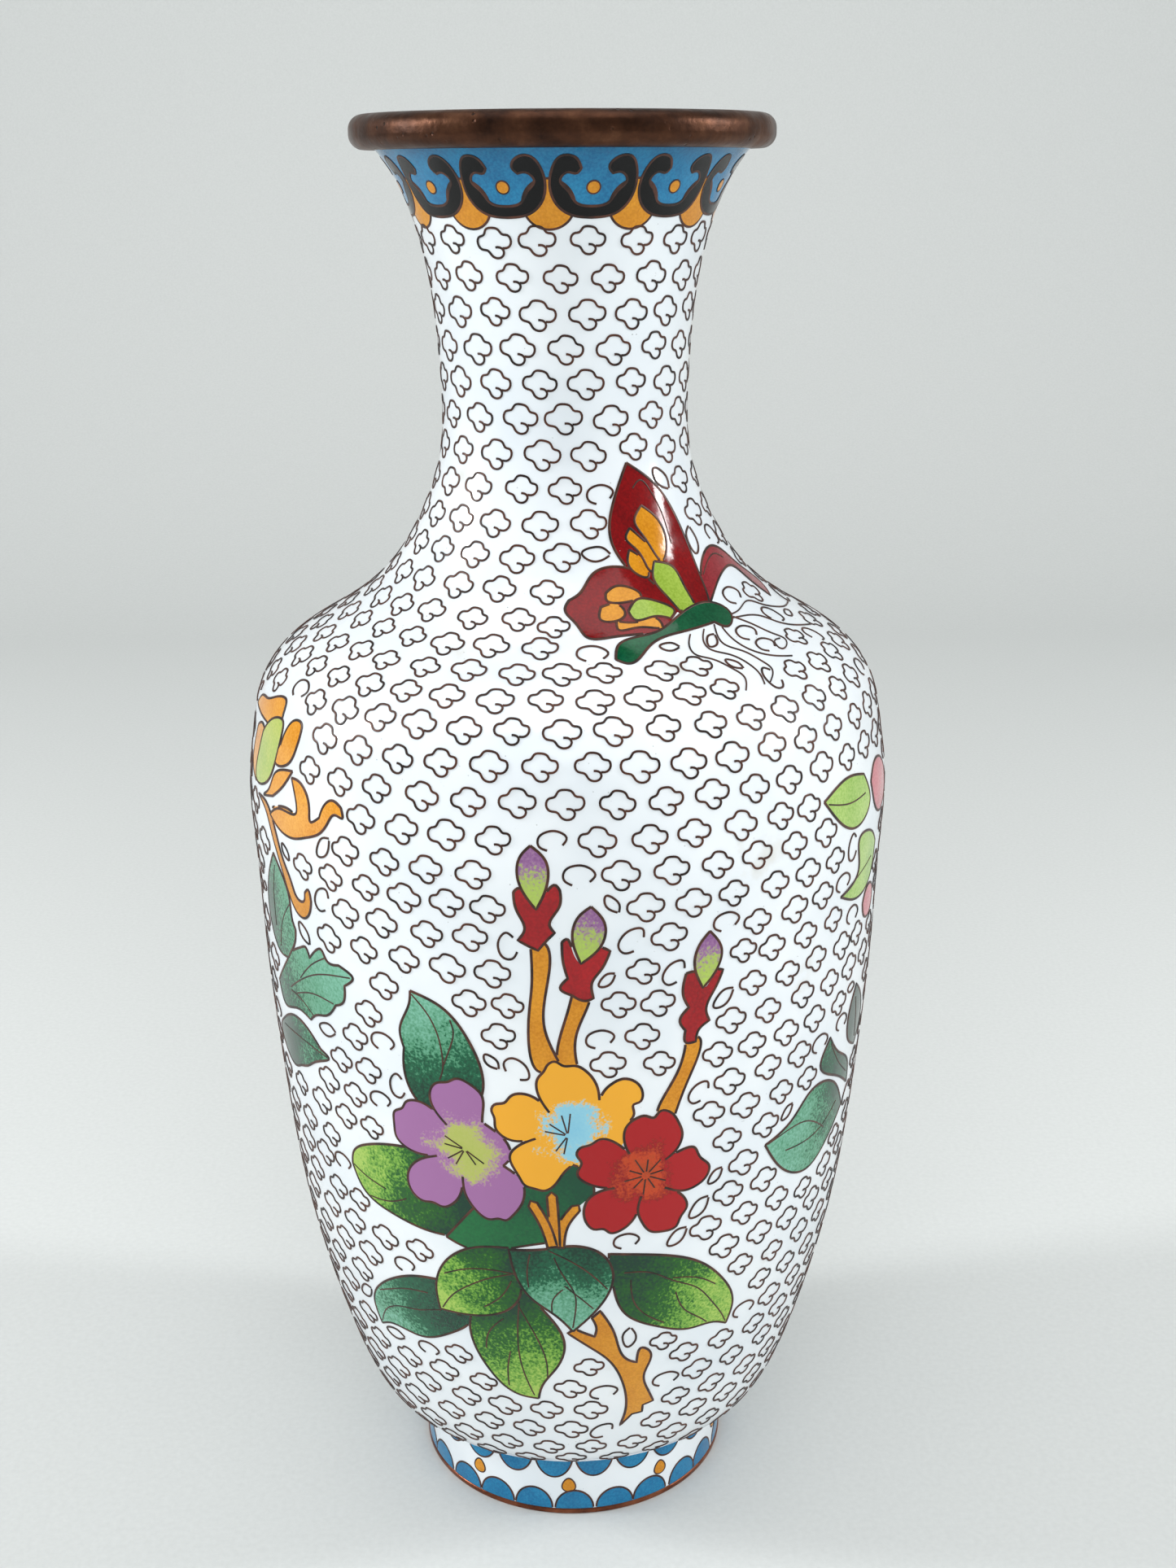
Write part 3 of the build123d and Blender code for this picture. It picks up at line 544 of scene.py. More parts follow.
def radial_enamel(name, centre, radius, stops, azimuth, grain=0.22):
    """Enamel whose colours run outwards from a blossom's centre."""
    looks = Looks(name)
    middle = on_surface(np.array(centre[0]), np.array(centre[1]), azimuth, 0)
    away = looks.add("ShaderNodeVectorMath", {"operation": "DISTANCE"})
    looks.tree.links.new(looks.place, away.inputs[0])
    away.inputs[1].default_value = middle
    share = looks.math("DIVIDE", away.outputs["Value"], radius * MM)
    powder = looks.remap(looks.noise(2400.0, detail=2.0), 0.3, 0.7, -grain, grain)
    drift = looks.remap(looks.noise(240.0, detail=1.0), 0.3, 0.7, -0.3, 0.3)
    place = looks.math("ADD", share, looks.math("ADD", powder, drift))
    return enamel_surface(looks, looks.ramp(place, stops), 0.3)


def white_enamel():
    looks = Looks("white_enamel")
    patches = looks.remap(looks.noise(45.0), 0.3, 0.7)
    colour = looks.mix(patches, (219, 227, 233), (233, 238, 241))
    stains = looks.remap(looks.noise(75.0, detail=5.0), 0.66, 0.74, 0.0, 0.35)
    colour = looks.mix(stains, colour, (196, 190, 172))
    return enamel_surface(looks, colour, pits=0.75, gloss=0.5)


def wire_metal():
    looks = Looks("tarnished_wire")
    tarnish = looks.remap(looks.noise(350.0), 0.35, 0.65)
    colour = looks.mix(tarnish, (34, 20, 16), (84, 48, 34))
    looks.bump((looks.noise(1500.0), 0.2, 0.0001))
    return looks.finish(colour, 0.4, Metallic=0.25)


def patina(name, dark, middle, light, roughness=(0.22, 0.42)):
    """Old copper, mottled brown, with fine pits and rubbed spots."""
    looks = Looks(name)
    mottle = looks.remap(looks.noise(110.0, detail=6.0, roughness=0.7), 0.3, 0.7)
    colour = looks.ramp(mottle, [(0.0, dark), (0.5, middle), (1.0, light)])
    specks = looks.math("MULTIPLY", looks.dots(700.0, 0.05, 0.22), looks.remap(looks.noise(160.0), 0.5, 0.62))
    colour = looks.mix(looks.math("MULTIPLY", specks, 0.75), colour, (26, 18, 14))
    looks.bump(
        (looks.noise(140.0), 0.35, 0.0006),
        (looks.noise(900.0), 0.25, 0.0002),
        (looks.math("MULTIPLY", specks, -1.0), 0.6, 0.0003),
    )
    shine = looks.remap(looks.noise(200.0), 0.3, 0.7, *roughness)
    return looks.finish(colour, shine, Metallic=0.82)


WHITE = white_enamel()
WIRE = wire_metal()
RIM = patina("rim_copper", (44, 26, 18), (78, 48, 32), (108, 72, 50), roughness=(0.3, 0.5))
COPPER = patina("foot_copper", (70, 38, 26), (128, 72, 48), (160, 98, 68))
TURQUOISE = plain_enamel("turquoise_enamel", (10, 96, 142), (30, 128, 172))
BLACK = plain_enamel("black_enamel", (1, 1, 2), (4, 4, 5), pits=0.05, gloss=0.22)
OCHRE = plain_enamel("ochre_enamel", (188, 118, 10), (214, 146, 30))
LINING = plain_enamel("lining_enamel", (96, 150, 178), (126, 176, 200), pits=0.9)

# ---- Motifs: cells from front to back, as (nodes, shapes, veins, material, slot) ---------------------------

RED = (128, 2, 6)
DEEP_RED = (96, 2, 5)
DARK_GREEN = (1, 50, 34)
GREEN = (24, 92, 14)
PALE_LEAF = (158, 190, 84)
PALE_TEAL = (116, 176, 152)


def leaf_look(name, start, end, azimuth, stops):
    return shaded_enamel(name, start, end, stops, azimuth)


def green_to_pale(pale_share=0.35):
    return [(0.0, PALE_LEAF), (pale_share, (104, 158, 52)), (pale_share + 0.22, GREEN), (1.0, DARK_GREEN)]


def teal_to_dark(pale_share=0.35):
    return [(0.0, PALE_TEAL), (pale_share, (74, 140, 106)), (pale_share + 0.15, (10, 92, 60)), (1.0, DARK_GREEN)]


red_blossom = petals(
    (11.2, 65.6),
    [(9.3, 68.4), (8, 71.4), (8.4, 74.5), (9.9, 75.6), (11.2, 75.8), (12.5, 75.3), (13.4, 76.3), (14.9, 76),
     (16.4, 73.8), (17, 72), (16, 69)],
    [(14, 67.4), (17.2, 68.9), (19, 68.9), (20, 67), (21.7, 64.9), (21.1, 62.9), (19.5, 61.8), (17.8, 61.4)],
    [(14.3, 62.6), (17.6, 60), (18, 58.2), (17, 56.6), (16.3, 55), (14, 54.5), (12.1, 54.9), (10.9, 56.5),
     (10.1, 59)],
    [(10.6, 61.6), (10.1, 59), (9, 57), (7.2, 55.6), (5.8, 55.4), (4.8, 56.2), (3.5, 56.2), (2.3, 57.3),
     (1.8, 59.6), (2.5, 61.8), (4, 63)],
    [(6.5, 63.6), (3.4, 64.2), (0.9, 66.8), (1.5, 68.4), (0.8, 69.8), (1.3, 71), (2.8, 71.5), (4.2, 72.4),
     (6.4, 71.8), (8, 70.3)],
)
red_centre = outline(
    [(6.6, 65.6), (7.6, 69), (11, 69.6), (14.6, 67.4), (14.2, 63.2), (11.4, 61.8), (7.6, 62.4)]
)
yellow_blossom = petals(
    (0, 73.6),
    [(-3.2, 77.2), (-5, 81), (-4.8, 83), (-3.9, 84.2), (-3.4, 85.2), (-2.3, 85.8), (-1.1, 85.1), (0.5, 85.1),
     (2.2, 84.2), (4, 81)],
    [(4.2, 79.2), (5, 80.8), (6.2, 81.9), (7.7, 82.5), (9.2, 82.1), (10.7, 79.5), (10.2, 78.3), (9.3, 78),
     (9.4, 76.5), (8.6, 75), (8, 72)],
    [(5, 69), (2, 67.5)],
    [(0.2, 68.1), (-1, 66.9), (-2.8, 64.2), (-4.2, 63.4), (-5.5, 63.7), (-7, 64.2), (-7.8, 65.5), (-9.2, 69.5),
     (-7.6, 71.4)],
    [(-5.3, 72.6), (-8.5, 72), (-10.2, 72.6), (-11.4, 74.2), (-11.5, 75.8), (-11.9, 77), (-11.4, 78),
     (-10, 78.4), (-9, 79.6), (-7.2, 80.2), (-4.8, 79.2)],
)
yellow_centre = outline(
    [(-4.7, 75.8), (-1.5, 78.7), (2.8, 77.2), (4.6, 75.4), (2.7, 71.6), (-0.6, 69.6), (-4, 70.6)]
)
mauve_blossom = petals(
    (-16.6, 69.4),
    [(-19.1, 73.3), (-21.6, 76.8), (-21.5, 79.2), (-20.4, 80.4), (-18.8, 80.8), (-17.4, 81.6), (-15, 80.9),
     (-13.4, 79.4), (-13.3, 76)],
    [(-13.4, 74.7), (-11, 73), (-9.4, 71), (-9.2, 69)],
    [(-10.3, 67.4), (-7.4, 64.6), (-7.5, 61), (-9.2, 58.3), (-10.2, 57.5), (-11.2, 57.7), (-12.3, 57.4),
     (-15.2, 59.2), (-16.6, 62)],
    [(-16.8, 64.5), (-17.3, 61.2), (-18.6, 59.2), (-20.6, 58.2), (-22, 58.6), (-23.5, 58.4), (-25.5, 59.3),
     (-26.4, 62.6), (-24, 66)],
    [(-21, 67.4), (-24.6, 67.1), (-28.2, 69), (-28.5, 71.5), (-28.2, 73.6), (-26.8, 74.5), (-26.2, 75.6),
     (-24.6, 76.4), (-22.2, 76)],
)
mauve_centre = outline(
    [(-20.6, 71.4), (-17, 72.9), (-13.2, 71.8), (-12, 69), (-14.6, 65.6), (-18.4, 65.8)]
)
twig_width = 1.5
twig = [
    stroke([(-3, 53), (-4, 56.8), (-5.9, 60.8)], twig_width),
    stroke([(-2.6, 53), (-2.7, 57), (-3, 62.4)], twig_width),
    stroke([(-2, 53), (-1.2, 57.4), (0.6, 60.2)], twig_width),
]
heart_leaf = outline(
    [(0, 36.1), (-2.5, 39.3), (-6.4, 42.8), (-9.2, 48.6)],
    [(-9.8, 52), (-4, 52.6), (0, 53.2), (4.4, 51.6), (6.3, 47.5), (4.4, 41.5)],
)
drooping_leaf = outline(
    [(-21.8, 37.4), (-15, 37.9), (-9.4, 40.8), (-8, 45), (-8.8, 48)],
    [(-9.4, 52.4), (-15, 51.7), (-20, 48.2), (-22.3, 42)],
)
hanging_leaf = outline(
    [(-5.6, 20.4), (-8.8, 21), (-13.6, 26), (-16.2, 32), (-16.5, 36.8)],
    [(-8.4, 45.5), (-4, 39.6), (-1.4, 34), (-2.6, 28), (-5, 23.5)],
)
right_leaf = outline(
    [(26.2, 31.6), (23.6, 33), (19, 33.3), (14, 35.2), (8.4, 39), (6.2, 46)],
    [(5.6, 51.4), (13, 50.2), (19.6, 47.6), (25, 42), (27.3, 36)],
)
teal_leaf = outline(
    [(-35.2, 27.6), (-33, 29), (-26, 29.4), (-20, 32.6), (-16.6, 36)],
    [(-17, 43.6), (-26, 42.8), (-32, 39.5), (-36.4, 33)],
)
branch = outline(
    [(3, 38.8)],
    [(4.3, 40.2), (6.6, 35), (8.9, 28.8)],
    [(10.2, 28), (11.2, 31.2), (12.2, 30.4), (11.5, 25), (12.2, 21)],
    [(13.2, 17.9)],
    [(11.4, 17.3)],
    [(11.3, 15.6)],
    [(9.6, 15.4)],
    [(7.6, 12.8), (8.4, 16), (8, 23.5), (5.3, 29.8), (2.8, 32.4)],
    [(-0.8, 35.7)],
    [(0.3, 36.6), (1.6, 35.8)],
    [(3.4, 34.8), (3.7, 36.4)],
)
shade_leaf = outline(
    [(-20, 52.6), (-16, 51.2), (-8, 52.8)],
    [(-3, 54)],
    [(0.4, 60)],
    [(3.4, 62.8), (2, 69), (-8, 66), (-16, 58)],
)
broad_leaf = outline(
    [(-38.3, 60.4), (-36, 56.4), (-30, 54), (-20, 52.9), (-12, 56)],
    [(-12, 66), (-25, 67.6), (-34, 65.6), (-38, 62.4)],
)
upper_leaf = outline(
    [(-24.4, 94.9), (-19.4, 93.2), (-15, 88), (-13.1, 80.4)],
    [(-16, 74), (-24, 76.6), (-26.1, 82)],
    [(-25.9, 85.2), (-26.5, 88), (-24.6, 93)],
)
calyxes = [
    outline(
        [(-7.9, 112.6), (-7.2, 113.2), (-5.9, 111.8)],
        [(-4.8, 110), (-4, 111.5), (-3, 113), (-2, 113.8)],
        [(-1.3, 113), (-1.4, 110.5), (-2.8, 107.5)],
        [(-2.1, 106.4), (-3.4, 105)],
        [(-4.5, 103.6), (-5.8, 104.2)],
        [(-7.4, 105.1), (-6.4, 106.8), (-7.5, 109.8)],
    ),
    outline(
        [(-1.1, 104.9), (-0.5, 105.4), (0.5, 103.2)],
        [(1.5, 101.4), (3, 103), (4.6, 103.9)],
        [(5.8, 103.3), (4.4, 100.3), (3.2, 98.5)],
        [(3.4, 96), (2.4, 95.6)],
        [(0.3, 96.5), (-1.4, 97.6)],
        [(-0.3, 99.2), (-0.9, 101.5)],
    ),
    outline(
        [(17.2, 98.5), (18.5, 98.6), (19.2, 97.8)],
        [(19.6, 96), (20.2, 95.8), (22.2, 98.3)],
        [(23.2, 98.1), (22, 95.5), (20.5, 92)],
        [(21.1, 90.3), (19.3, 89)],
        [(18.9, 87.2), (17.3, 87.3)],
        [(17.2, 89.3), (16.3, 91)],
        [(17.7, 93), (16.8, 95)],
    ),
]
buds = [
    outline([(-5.4, 119.5), (-3.3, 117.4), (-3, 114.4)], [(-4.7, 110), (-7.2, 114.4), (-6.8, 118)]),
    outline([(3.1, 110.4), (5, 107.8), (4.7, 104.6)], [(1.6, 101.5), (0.4, 106), (1.4, 109)]),
    outline([(20.9, 104.7), (22.9, 101.4), (22, 98.2)], [(19.9, 95.8), (18.5, 100), (19.4, 103)]),
]
stems = [
    outline([(-5.6, 105), (-5.5, 98), (-6.1, 91), (-4.2, 84)], [(-1.6, 85.5), (-3.7, 91), (-3.3, 98), (-4.2, 105)]),
    outline([(0.4, 97), (-0.6, 93), (-0.9, 85)], [(1, 85), (1.1, 91), (2.4, 97)]),
    outline([(17.4, 88), (15.8, 82), (13.4, 75.5)], [(15.8, 75.5), (17.8, 81), (19, 88)]),
]

red_look = radial_enamel(
    "red_blossom", (11.2, 65.6), 4.6,
    [(0.0, (150, 60, 20)), (0.55, (186, 62, 18)), (0.95, RED), (1.0, (160, 6, 14))], 0,
)
yellow_look = radial_enamel(
    "yellow_blossom", (0, 73.8), 5.2,
    [(0.0, (128, 190, 214)), (0.7, (140, 198, 216)), (0.95, (232, 172, 50)), (1.0, (230, 164, 40))], 0,
)
mauve_look = radial_enamel(
    "mauve_blossom", (-16.4, 69.4), 5.6,
    [(0.0, (164, 176, 84)), (0.6, (172, 178, 96)), (0.95, (160, 112, 158)), (1.0, (152, 102, 152))], 0,
)

BUD_STOPS = [(0.0, (164, 192, 84)), (0.35, (158, 176, 92)), (0.62, (146, 104, 146)), (1.0, (126, 82, 132))]
spray = [
    (["blossom_red_centre"], [unfenced(red_centre)], [], red_look, "orange_enamel"),
    (["blossom_red"], red_blossom, [], red_look, "red_enamel"),
    (["blossom_yellow_centre"], [unfenced(yellow_centre)], [], yellow_look, "light_blue_enamel"),
    (["blossom_yellow"], yellow_blossom, [], yellow_look, "yellow_enamel"),
    (["blossom_mauve_centre"], [unfenced(mauve_centre)], [], mauve_look, "pale_green_enamel"),
    (["blossom_mauve"], mauve_blossom, [], mauve_look, "mauve_enamel"),
    (["twig"], twig, [], OCHRE, "ochre_enamel"),
    (
        ["leaf_heart"], [heart_leaf],
        [
            [(-3.6, 52.3), (0.2, 50), (3.5, 47), (5.4, 44.6)],
            [(-2.8, 51), (-1.4, 47.5), (0.3, 44), (0.4, 40), (0, 36.9)],
            [(-1.2, 45.5), (1.7, 42.5), (3.2, 40.8)],
            [(-1.5, 44.8), (-3, 42.8), (-3.2, 39.9)],
            [(-6.5, 51.5), (-7, 48), (-6.8, 45)],
        ],
        leaf_look("heart_leaf", (0, 36), (-2, 54), 0, teal_to_dark(0.42)), "teal_enamel",
    ),
    (
        ["leaf_drooping"], [drooping_leaf],
        [
            [(-20.7, 45.2), (-17, 47), (-13, 47.7), (-9, 47.4)],
            [(-21.3, 37.9), (-19.5, 41), (-16.5, 43.8), (-13, 46), (-9.5, 47.3)],
            [(-14, 40), (-11.3, 42.5), (-9.5, 46)],
        ],
        leaf_look("drooping_leaf", (-23, 40), (-7, 50), 0, green_to_pale(0.3)), "green_enamel",
    ),
    (
        ["leaf_hanging"], [hanging_leaf],
        [
            [(-8.3, 43), (-8.7, 36), (-8.5, 30), (-7.5, 25), (-6.3, 21.2)],
            [(-11, 38), (-13.5, 34.5), (-14, 31)],
            [(-8.5, 41), (-5.5, 34), (-4.2, 29), (-4.1, 25.6)],
            [(-10, 31), (-10.5, 27), (-10.4, 22.9)],
        ],
        leaf_look("hanging_leaf", (-5, 20), (-11, 44), 0, green_to_pale(0.3)), "green_enamel",
    ),
    (
        ["leaf_right"], [right_leaf],
        [
            [(9.1, 46), (9.8, 41), (12, 38), (14.6, 36)],
            [(8, 47.5), (12, 47), (16, 44.5), (20, 42), (23, 38), (25.5, 33.5), (26, 32.2)],
            [(16, 45), (20, 44), (23.6, 41.4)],
            [(16.5, 42), (18, 38), (21, 35), (22.3, 33.6)],
        ],
        leaf_look("right_leaf", (27, 34), (6, 48), 0, green_to_pale(0.32)), "green_enamel",
    ),
    (
        ["leaf_teal"], [teal_leaf],
        [
            [(-34.5, 36), (-31, 38), (-28, 39.3), (-24, 40)],
            [(-35, 28.4), (-33.5, 32), (-30, 34.5), (-26, 35.5), (-22, 37), (-18, 37)],
        ],
        leaf_look("teal_leaf", (-37, 31), (-19, 40), 0, teal_to_dark(0.3)), "teal_enamel",
    ),
    (["branch"], [branch], [], OCHRE, "ochre_enamel"),
    (
        ["leaf_shade"], [shade_leaf], [],
        leaf_look("shade_leaf", (-20, 52), (2, 64), 0, [(0.0, (14, 104, 52)), (1.0, (4, 68, 44))]),
        "dark_green_enamel",
    ),
    (
        ["leaf_broad"], [broad_leaf],
        [
            [(-38, 60.4), (-35, 59.2), (-31, 58.3)],
            [(-34.5, 55.7), (-30, 56.3), (-27, 57.8)],
        ],
        leaf_look("broad_leaf", (-38, 62), (-17, 57), 0, green_to_pale(0.3)), "green_enamel",
    ),
    (
        ["leaf_upper"], [upper_leaf],
        [
            [(-24.2, 94.4), (-21.5, 91.5), (-19.9, 88), (-19.4, 85), (-19.6, 82), (-20, 81)],
            [(-18, 91.3), (-17.5, 89.5), (-18, 87), (-19.3, 83.5)],
        ],
        leaf_look("upper_leaf", (-24, 95), (-18, 76), 0, teal_to_dark(0.42)), "teal_enamel",
    ),
    (["buds"], buds, [], None, "mauve_enamel"),
    (["calyxes"], calyxes, [], plain_enamel("calyx_red", (128, 8, 16), (166, 14, 22)), "red_enamel"),
    (["bud_stems"], stems, [], OCHRE, "ochre_enamel"),
]


def fan(centre, tips):
    """Thin stamens from near a blossom's centre to their tips."""
    return [
        [(centre[0] + (x - centre[0]) * 0.12, centre[1] + (s - centre[1]) * 0.12), (x, s)] for x, s in tips
    ]


spray_lines = (
    fan((-16.3, 69.5), [(-19.5, 71.3), (-19.6, 69.9), (-19.1, 67.4), (-17.8, 66.6), (-14.6, 67), (-13.3, 67.4)])
    + fan((-0.5, 73.2), [(-3.2, 75.2), (-3.9, 73.9), (-2.3, 70.5), (-1.1, 70), (-1.4, 76.7), (-0.1, 77)])
)
stamen_count = 10
red_stamens = [
    [(11.3 + near * cos(turn), 65.3 + near * sin(turn)), (11.3 + far * cos(turn), 65.3 + far * sin(turn))]
    for k in range(stamen_count)
    for turn, near, far in [(tau * k / stamen_count + 0.2, 0.7, 3.4 if k % 2 else 2.8)]
]

insect_body = outline(
    [(-5.9, 148.6), (-4.6, 151.4), (1.6, 153.2), (6, 155.4), (14.6, 156.5), (16.8, 153.8), (15, 152.1)],
    [(12.6, 153.4), (6, 152.7), (0, 150.8), (-4.6, 147.7)],
)
ochre_cells = [
    outline([(4.4, 173.8), (6.8, 171.8), (7.8, 167), (6.6, 165), (4.4, 168.4), (2.9, 171.8)]),
    outline([(1.9, 170.6), (4.4, 168), (5.7, 165.4), (4.2, 163.6), (2.8, 166.6), (1, 169.2)]),
    outline([(1.2, 167.3), (3.2, 165.4), (3.4, 162.8), (0.8, 164.4)]),
    outline([(-3.9, 160.7), (-1.7, 161.8), (1.4, 160), (-1.3, 159), (-4.1, 159.7)]),
    outline([(-5.2, 158.4), (-2.4, 158.6), (-1.9, 157), (-5.8, 156.2)]),
    outline([(-3.6, 155.8), (0.3, 155.5), (2.8, 155.6), (3.2, 154.2), (0, 154.4), (-3.8, 154.4)]),
]
green_cells = [
    outline([(5, 165.1), (8, 164), (9.5, 160), (9.9, 156.5)], [(7, 156.5), (5.5, 159.5), (4.2, 162.4)]),
    outline([(-1.3, 157.4), (0.6, 159.3), (3.6, 158.7), (6.1, 156.5)], [(5, 155.4), (2.4, 156.1), (-0.8, 155.9)]),
]
lower_wing = outline(
    [(6.6, 156.4), (5, 160), (0.8, 164.3), (-5, 164), (-7.8, 160.8)],
    [(-9.6, 159.7), (-10.6, 158), (-9.6, 155.6), (-8.8, 153.2), (-4.8, 153), (3, 153.8)],
)
upper_wing = outline(
    [(2.6, 180.3), (8.2, 176), (12.2, 168), (13.3, 162), (12.8, 156.4)],
    [(7, 156), (0.4, 164.4), (-1.4, 169), (0, 175)],
)
far_wing = outline(
    [(13.4, 156.8), (13.8, 162), (17.5, 165.4), (23, 164), (29, 160), (34.5, 154.6)],
    [(33.4, 153.6), (28.6, 158), (24, 161.3), (18.6, 160.7)],
)
WING = plain_enamel("wing_red", (92, 2, 6), (132, 6, 10))
butterfly_azimuth = 20
butterfly = [
    (
        ["butterfly_body"], [insect_body], [],
        plain_enamel("body_green", (4, 66, 40), (16, 92, 56)), "dark_green_enamel",
    ),
    (
        ["butterfly_cells_green"], green_cells, [],
        plain_enamel("wing_green", (128, 158, 48), (160, 186, 78)), "pale_green_enamel",
    ),
    (["butterfly_cells_ochre"], ochre_cells, [], OCHRE, "ochre_enamel"),
    (["butterfly_wing_lower"], [lower_wing], [], WING, "red_enamel"),
    (
        ["butterfly_wing_upper"], [upper_wing],
        [[(3.3, 176.5), (4.6, 177.6), (6.6, 175.6), (8.2, 172), (8.9, 167.4)]], WING, "red_enamel",
    ),
    (
        ["butterfly_wing_far"], [far_wing], [[(14.2, 161.6), (16, 163.2), (18.6, 164.2), (22, 163)]],
        plain_enamel("far_wing_red", (116, 26, 34), (150, 48, 54)), "red_enamel",
    ),
]
butterfly_lines = [
    [(16.9, 154), (19.2, 154.3), (22.4, 155.2), (26.3, 153.8), (30.9, 152), (35.5, 150.8), (41, 150.3)],
    [(16.8, 153.3), (23.9, 152), (27.8, 149.7), (33.7, 147.3), (39.5, 145.7)],
    [(17, 153.5), (20.5, 151.2), (24.5, 148), (26.2, 146.2), (25, 145.2), (23.2, 145.5), (23, 146.7), (25, 147)],
    [(7.2, 152), (6.1, 149.5), (6.3, 148.3), (8.5, 146.8), (11.5, 144), (12.8, 142), (12, 139.7)],
    [(10, 152.5), (8.9, 150), (9, 149.2), (12, 147), (15, 144), (15.9, 142), (15.9, 140)],
    [(12.3, 153), (12.2, 149.2), (15, 147), (17.8, 144), (18.8, 142.3), (17.2, 140.2)],
    [(13.4, 153), (14.3, 150), (16.5, 147), (20, 144.8), (25, 143.3)],
]

mum_azimuth = -55
mum_heart = outline([(-12, 127), (-7, 130.4), (-4, 130.6), (-4.6, 125.4), (-8, 120), (-14, 119)])
mum_petals = [
    outline([(-20, 129.5), (-17, 131.5), (-13, 132), (-9, 133.3), (-5, 133.4)],
            [(-4.5, 131), (-7, 129), (-10, 128.8), (-14, 129)]),
    outline([(-3.5, 127), (-2, 130), (0, 131.7), (1.8, 131.5)], [(2, 129), (1, 126.5), (-1, 124.5), (-5, 124)]),
    outline([(1, 124), (-2, 123.5), (-5, 122), (-7, 119), (-9, 117.8)], [(-5, 118.6), (-1.6, 121)]),
    outline([(1, 123), (3, 123), (5.5, 121.5), (6.5, 119), (6.7, 117.8)], [(9, 118.8), (10, 121), (11.5, 122)],
            [(13.5, 121.3), (14, 119.8), (12.5, 120), (11, 118.5), (9, 116.3), (6, 115), (2, 113.8), (-3, 114.2)],
            [(-6, 115.5), (-2, 117.4), (3, 118)]),
    outline([(-5, 116.8), (-2, 117.8), (3, 117.5)], [(5, 116), (0, 115.3), (-4, 116)]),
    outline([(-16, 127), (-13, 128), (-10, 126), (-9.6, 121), (-13, 118.6), (-18, 121)]),
]
mum_stalk = outline(
    [(-12, 117), (-8, 115.5), (-5.5, 112), (-3, 107.5), (-1, 103.5), (1, 101.3), (3, 101), (4.8, 102.5)],
    [(5.5, 104.5), (5, 106.3)],
    [(4, 105.5), (3.5, 104), (1.5, 103.8), (0, 106), (-2, 109), (-4, 113), (-7, 116.5)],
)
mum_leaves = [
    outline([(-6, 109), (-3.5, 106.5), (-1.5, 103), (-1, 99)], [(-0.3, 98), (-0.8, 96), (-2.2, 94)],
            [(-4, 92), (-8, 92), (-12, 98), (-10, 104)]),
    outline([(-4, 92), (-1, 94.5), (1, 95.5), (2.5, 96)], [(3.5, 94.5), (5, 96), (7, 97), (8, 95.7)],
            [(11, 95.6), (14, 94.3)], [(12, 92.5), (11.3, 89.5)], [(9.5, 88.5), (7, 86), (4, 85)],
            [(2, 83.5), (-1, 84), (-5, 83), (-8, 82.5)], [(-10, 86)]),
    outline([(-10, 79), (-6, 81.3), (-1, 81.8), (2, 80.5)], [(4, 79), (6, 78.2)], [(4, 77), (1, 75.5), (-1, 74.2)],
            [(-4, 73), (-7, 71.8), (-10, 72.5), (-13, 76)]),
]
chrysanthemum = [
    (
        ["chrysanthemum_heart"], [mum_heart], [],
        plain_enamel("mum_heart", (150, 178, 84), (188, 196, 104)), "pale_green_enamel",
    ),
    (
        ["chrysanthemum_petals"], mum_petals, [],
        plain_enamel("mum_petals", (206, 130, 26), (228, 164, 62)), "ochre_enamel",
    ),
    (["chrysanthemum_stalk"], [mum_stalk], [], OCHRE, "ochre_enamel"),
    (
        ["chrysanthemum_leaves"], mum_leaves,
        [
            [(13.4, 94.2), (6, 92.6), (-4, 87)],
            [(8, 96), (4, 93.6), (0, 90)],
            [(9, 88.6), (4, 88.6), (-2, 86.6)],
            [(5.6, 78.2), (-2, 78.6), (-10, 78)],
            [(-1.4, 102), (-5, 98), (-7, 93)],
            [(-6, 107), (-8, 102), (-8.4, 96)],
            [(3, 84.6), (0, 86), (-4, 86.4)],
        ],
        leaf_look("mum_leaf", (14, 92), (-8, 84), mum_azimuth, teal_to_dark(0.6)), "teal_enamel",
    ),
]

peony_azimuth = 55
peony_petals = [
    outline([(8.6, 98.6), (10, 100.6), (14, 100), (14, 96), (10, 96)]),
    outline([(9, 119), (11, 114.6), (16, 112.6), (20, 116), (16, 121), (11, 121)]),
]
peony_leaves = [
    outline([(-7, 120), (-3, 115.8), (4, 113.6), (8, 116)], [(6, 121), (0, 122)]),
    outline([(-1, 103), (5, 106), (4, 111), (9, 111)], [(13, 108), (12, 103), (6, 100.8)]),
]
peony_low_leaves = [
    outline([(-15, 65.2), (-9, 67.8), (-5, 71), (2, 70)], [(8.4, 62.8), (2, 58), (-2, 56.2), (-10, 59)]),
    outline([(-0.5, 78.8), (3, 75), (9, 70.4)], [(10, 66.2), (3, 70.6), (-2.8, 75)]),
    outline([(9, 84.5), (13, 81), (15, 76)], [(12, 72.4), (7, 76), (6.6, 80.6)]),
]
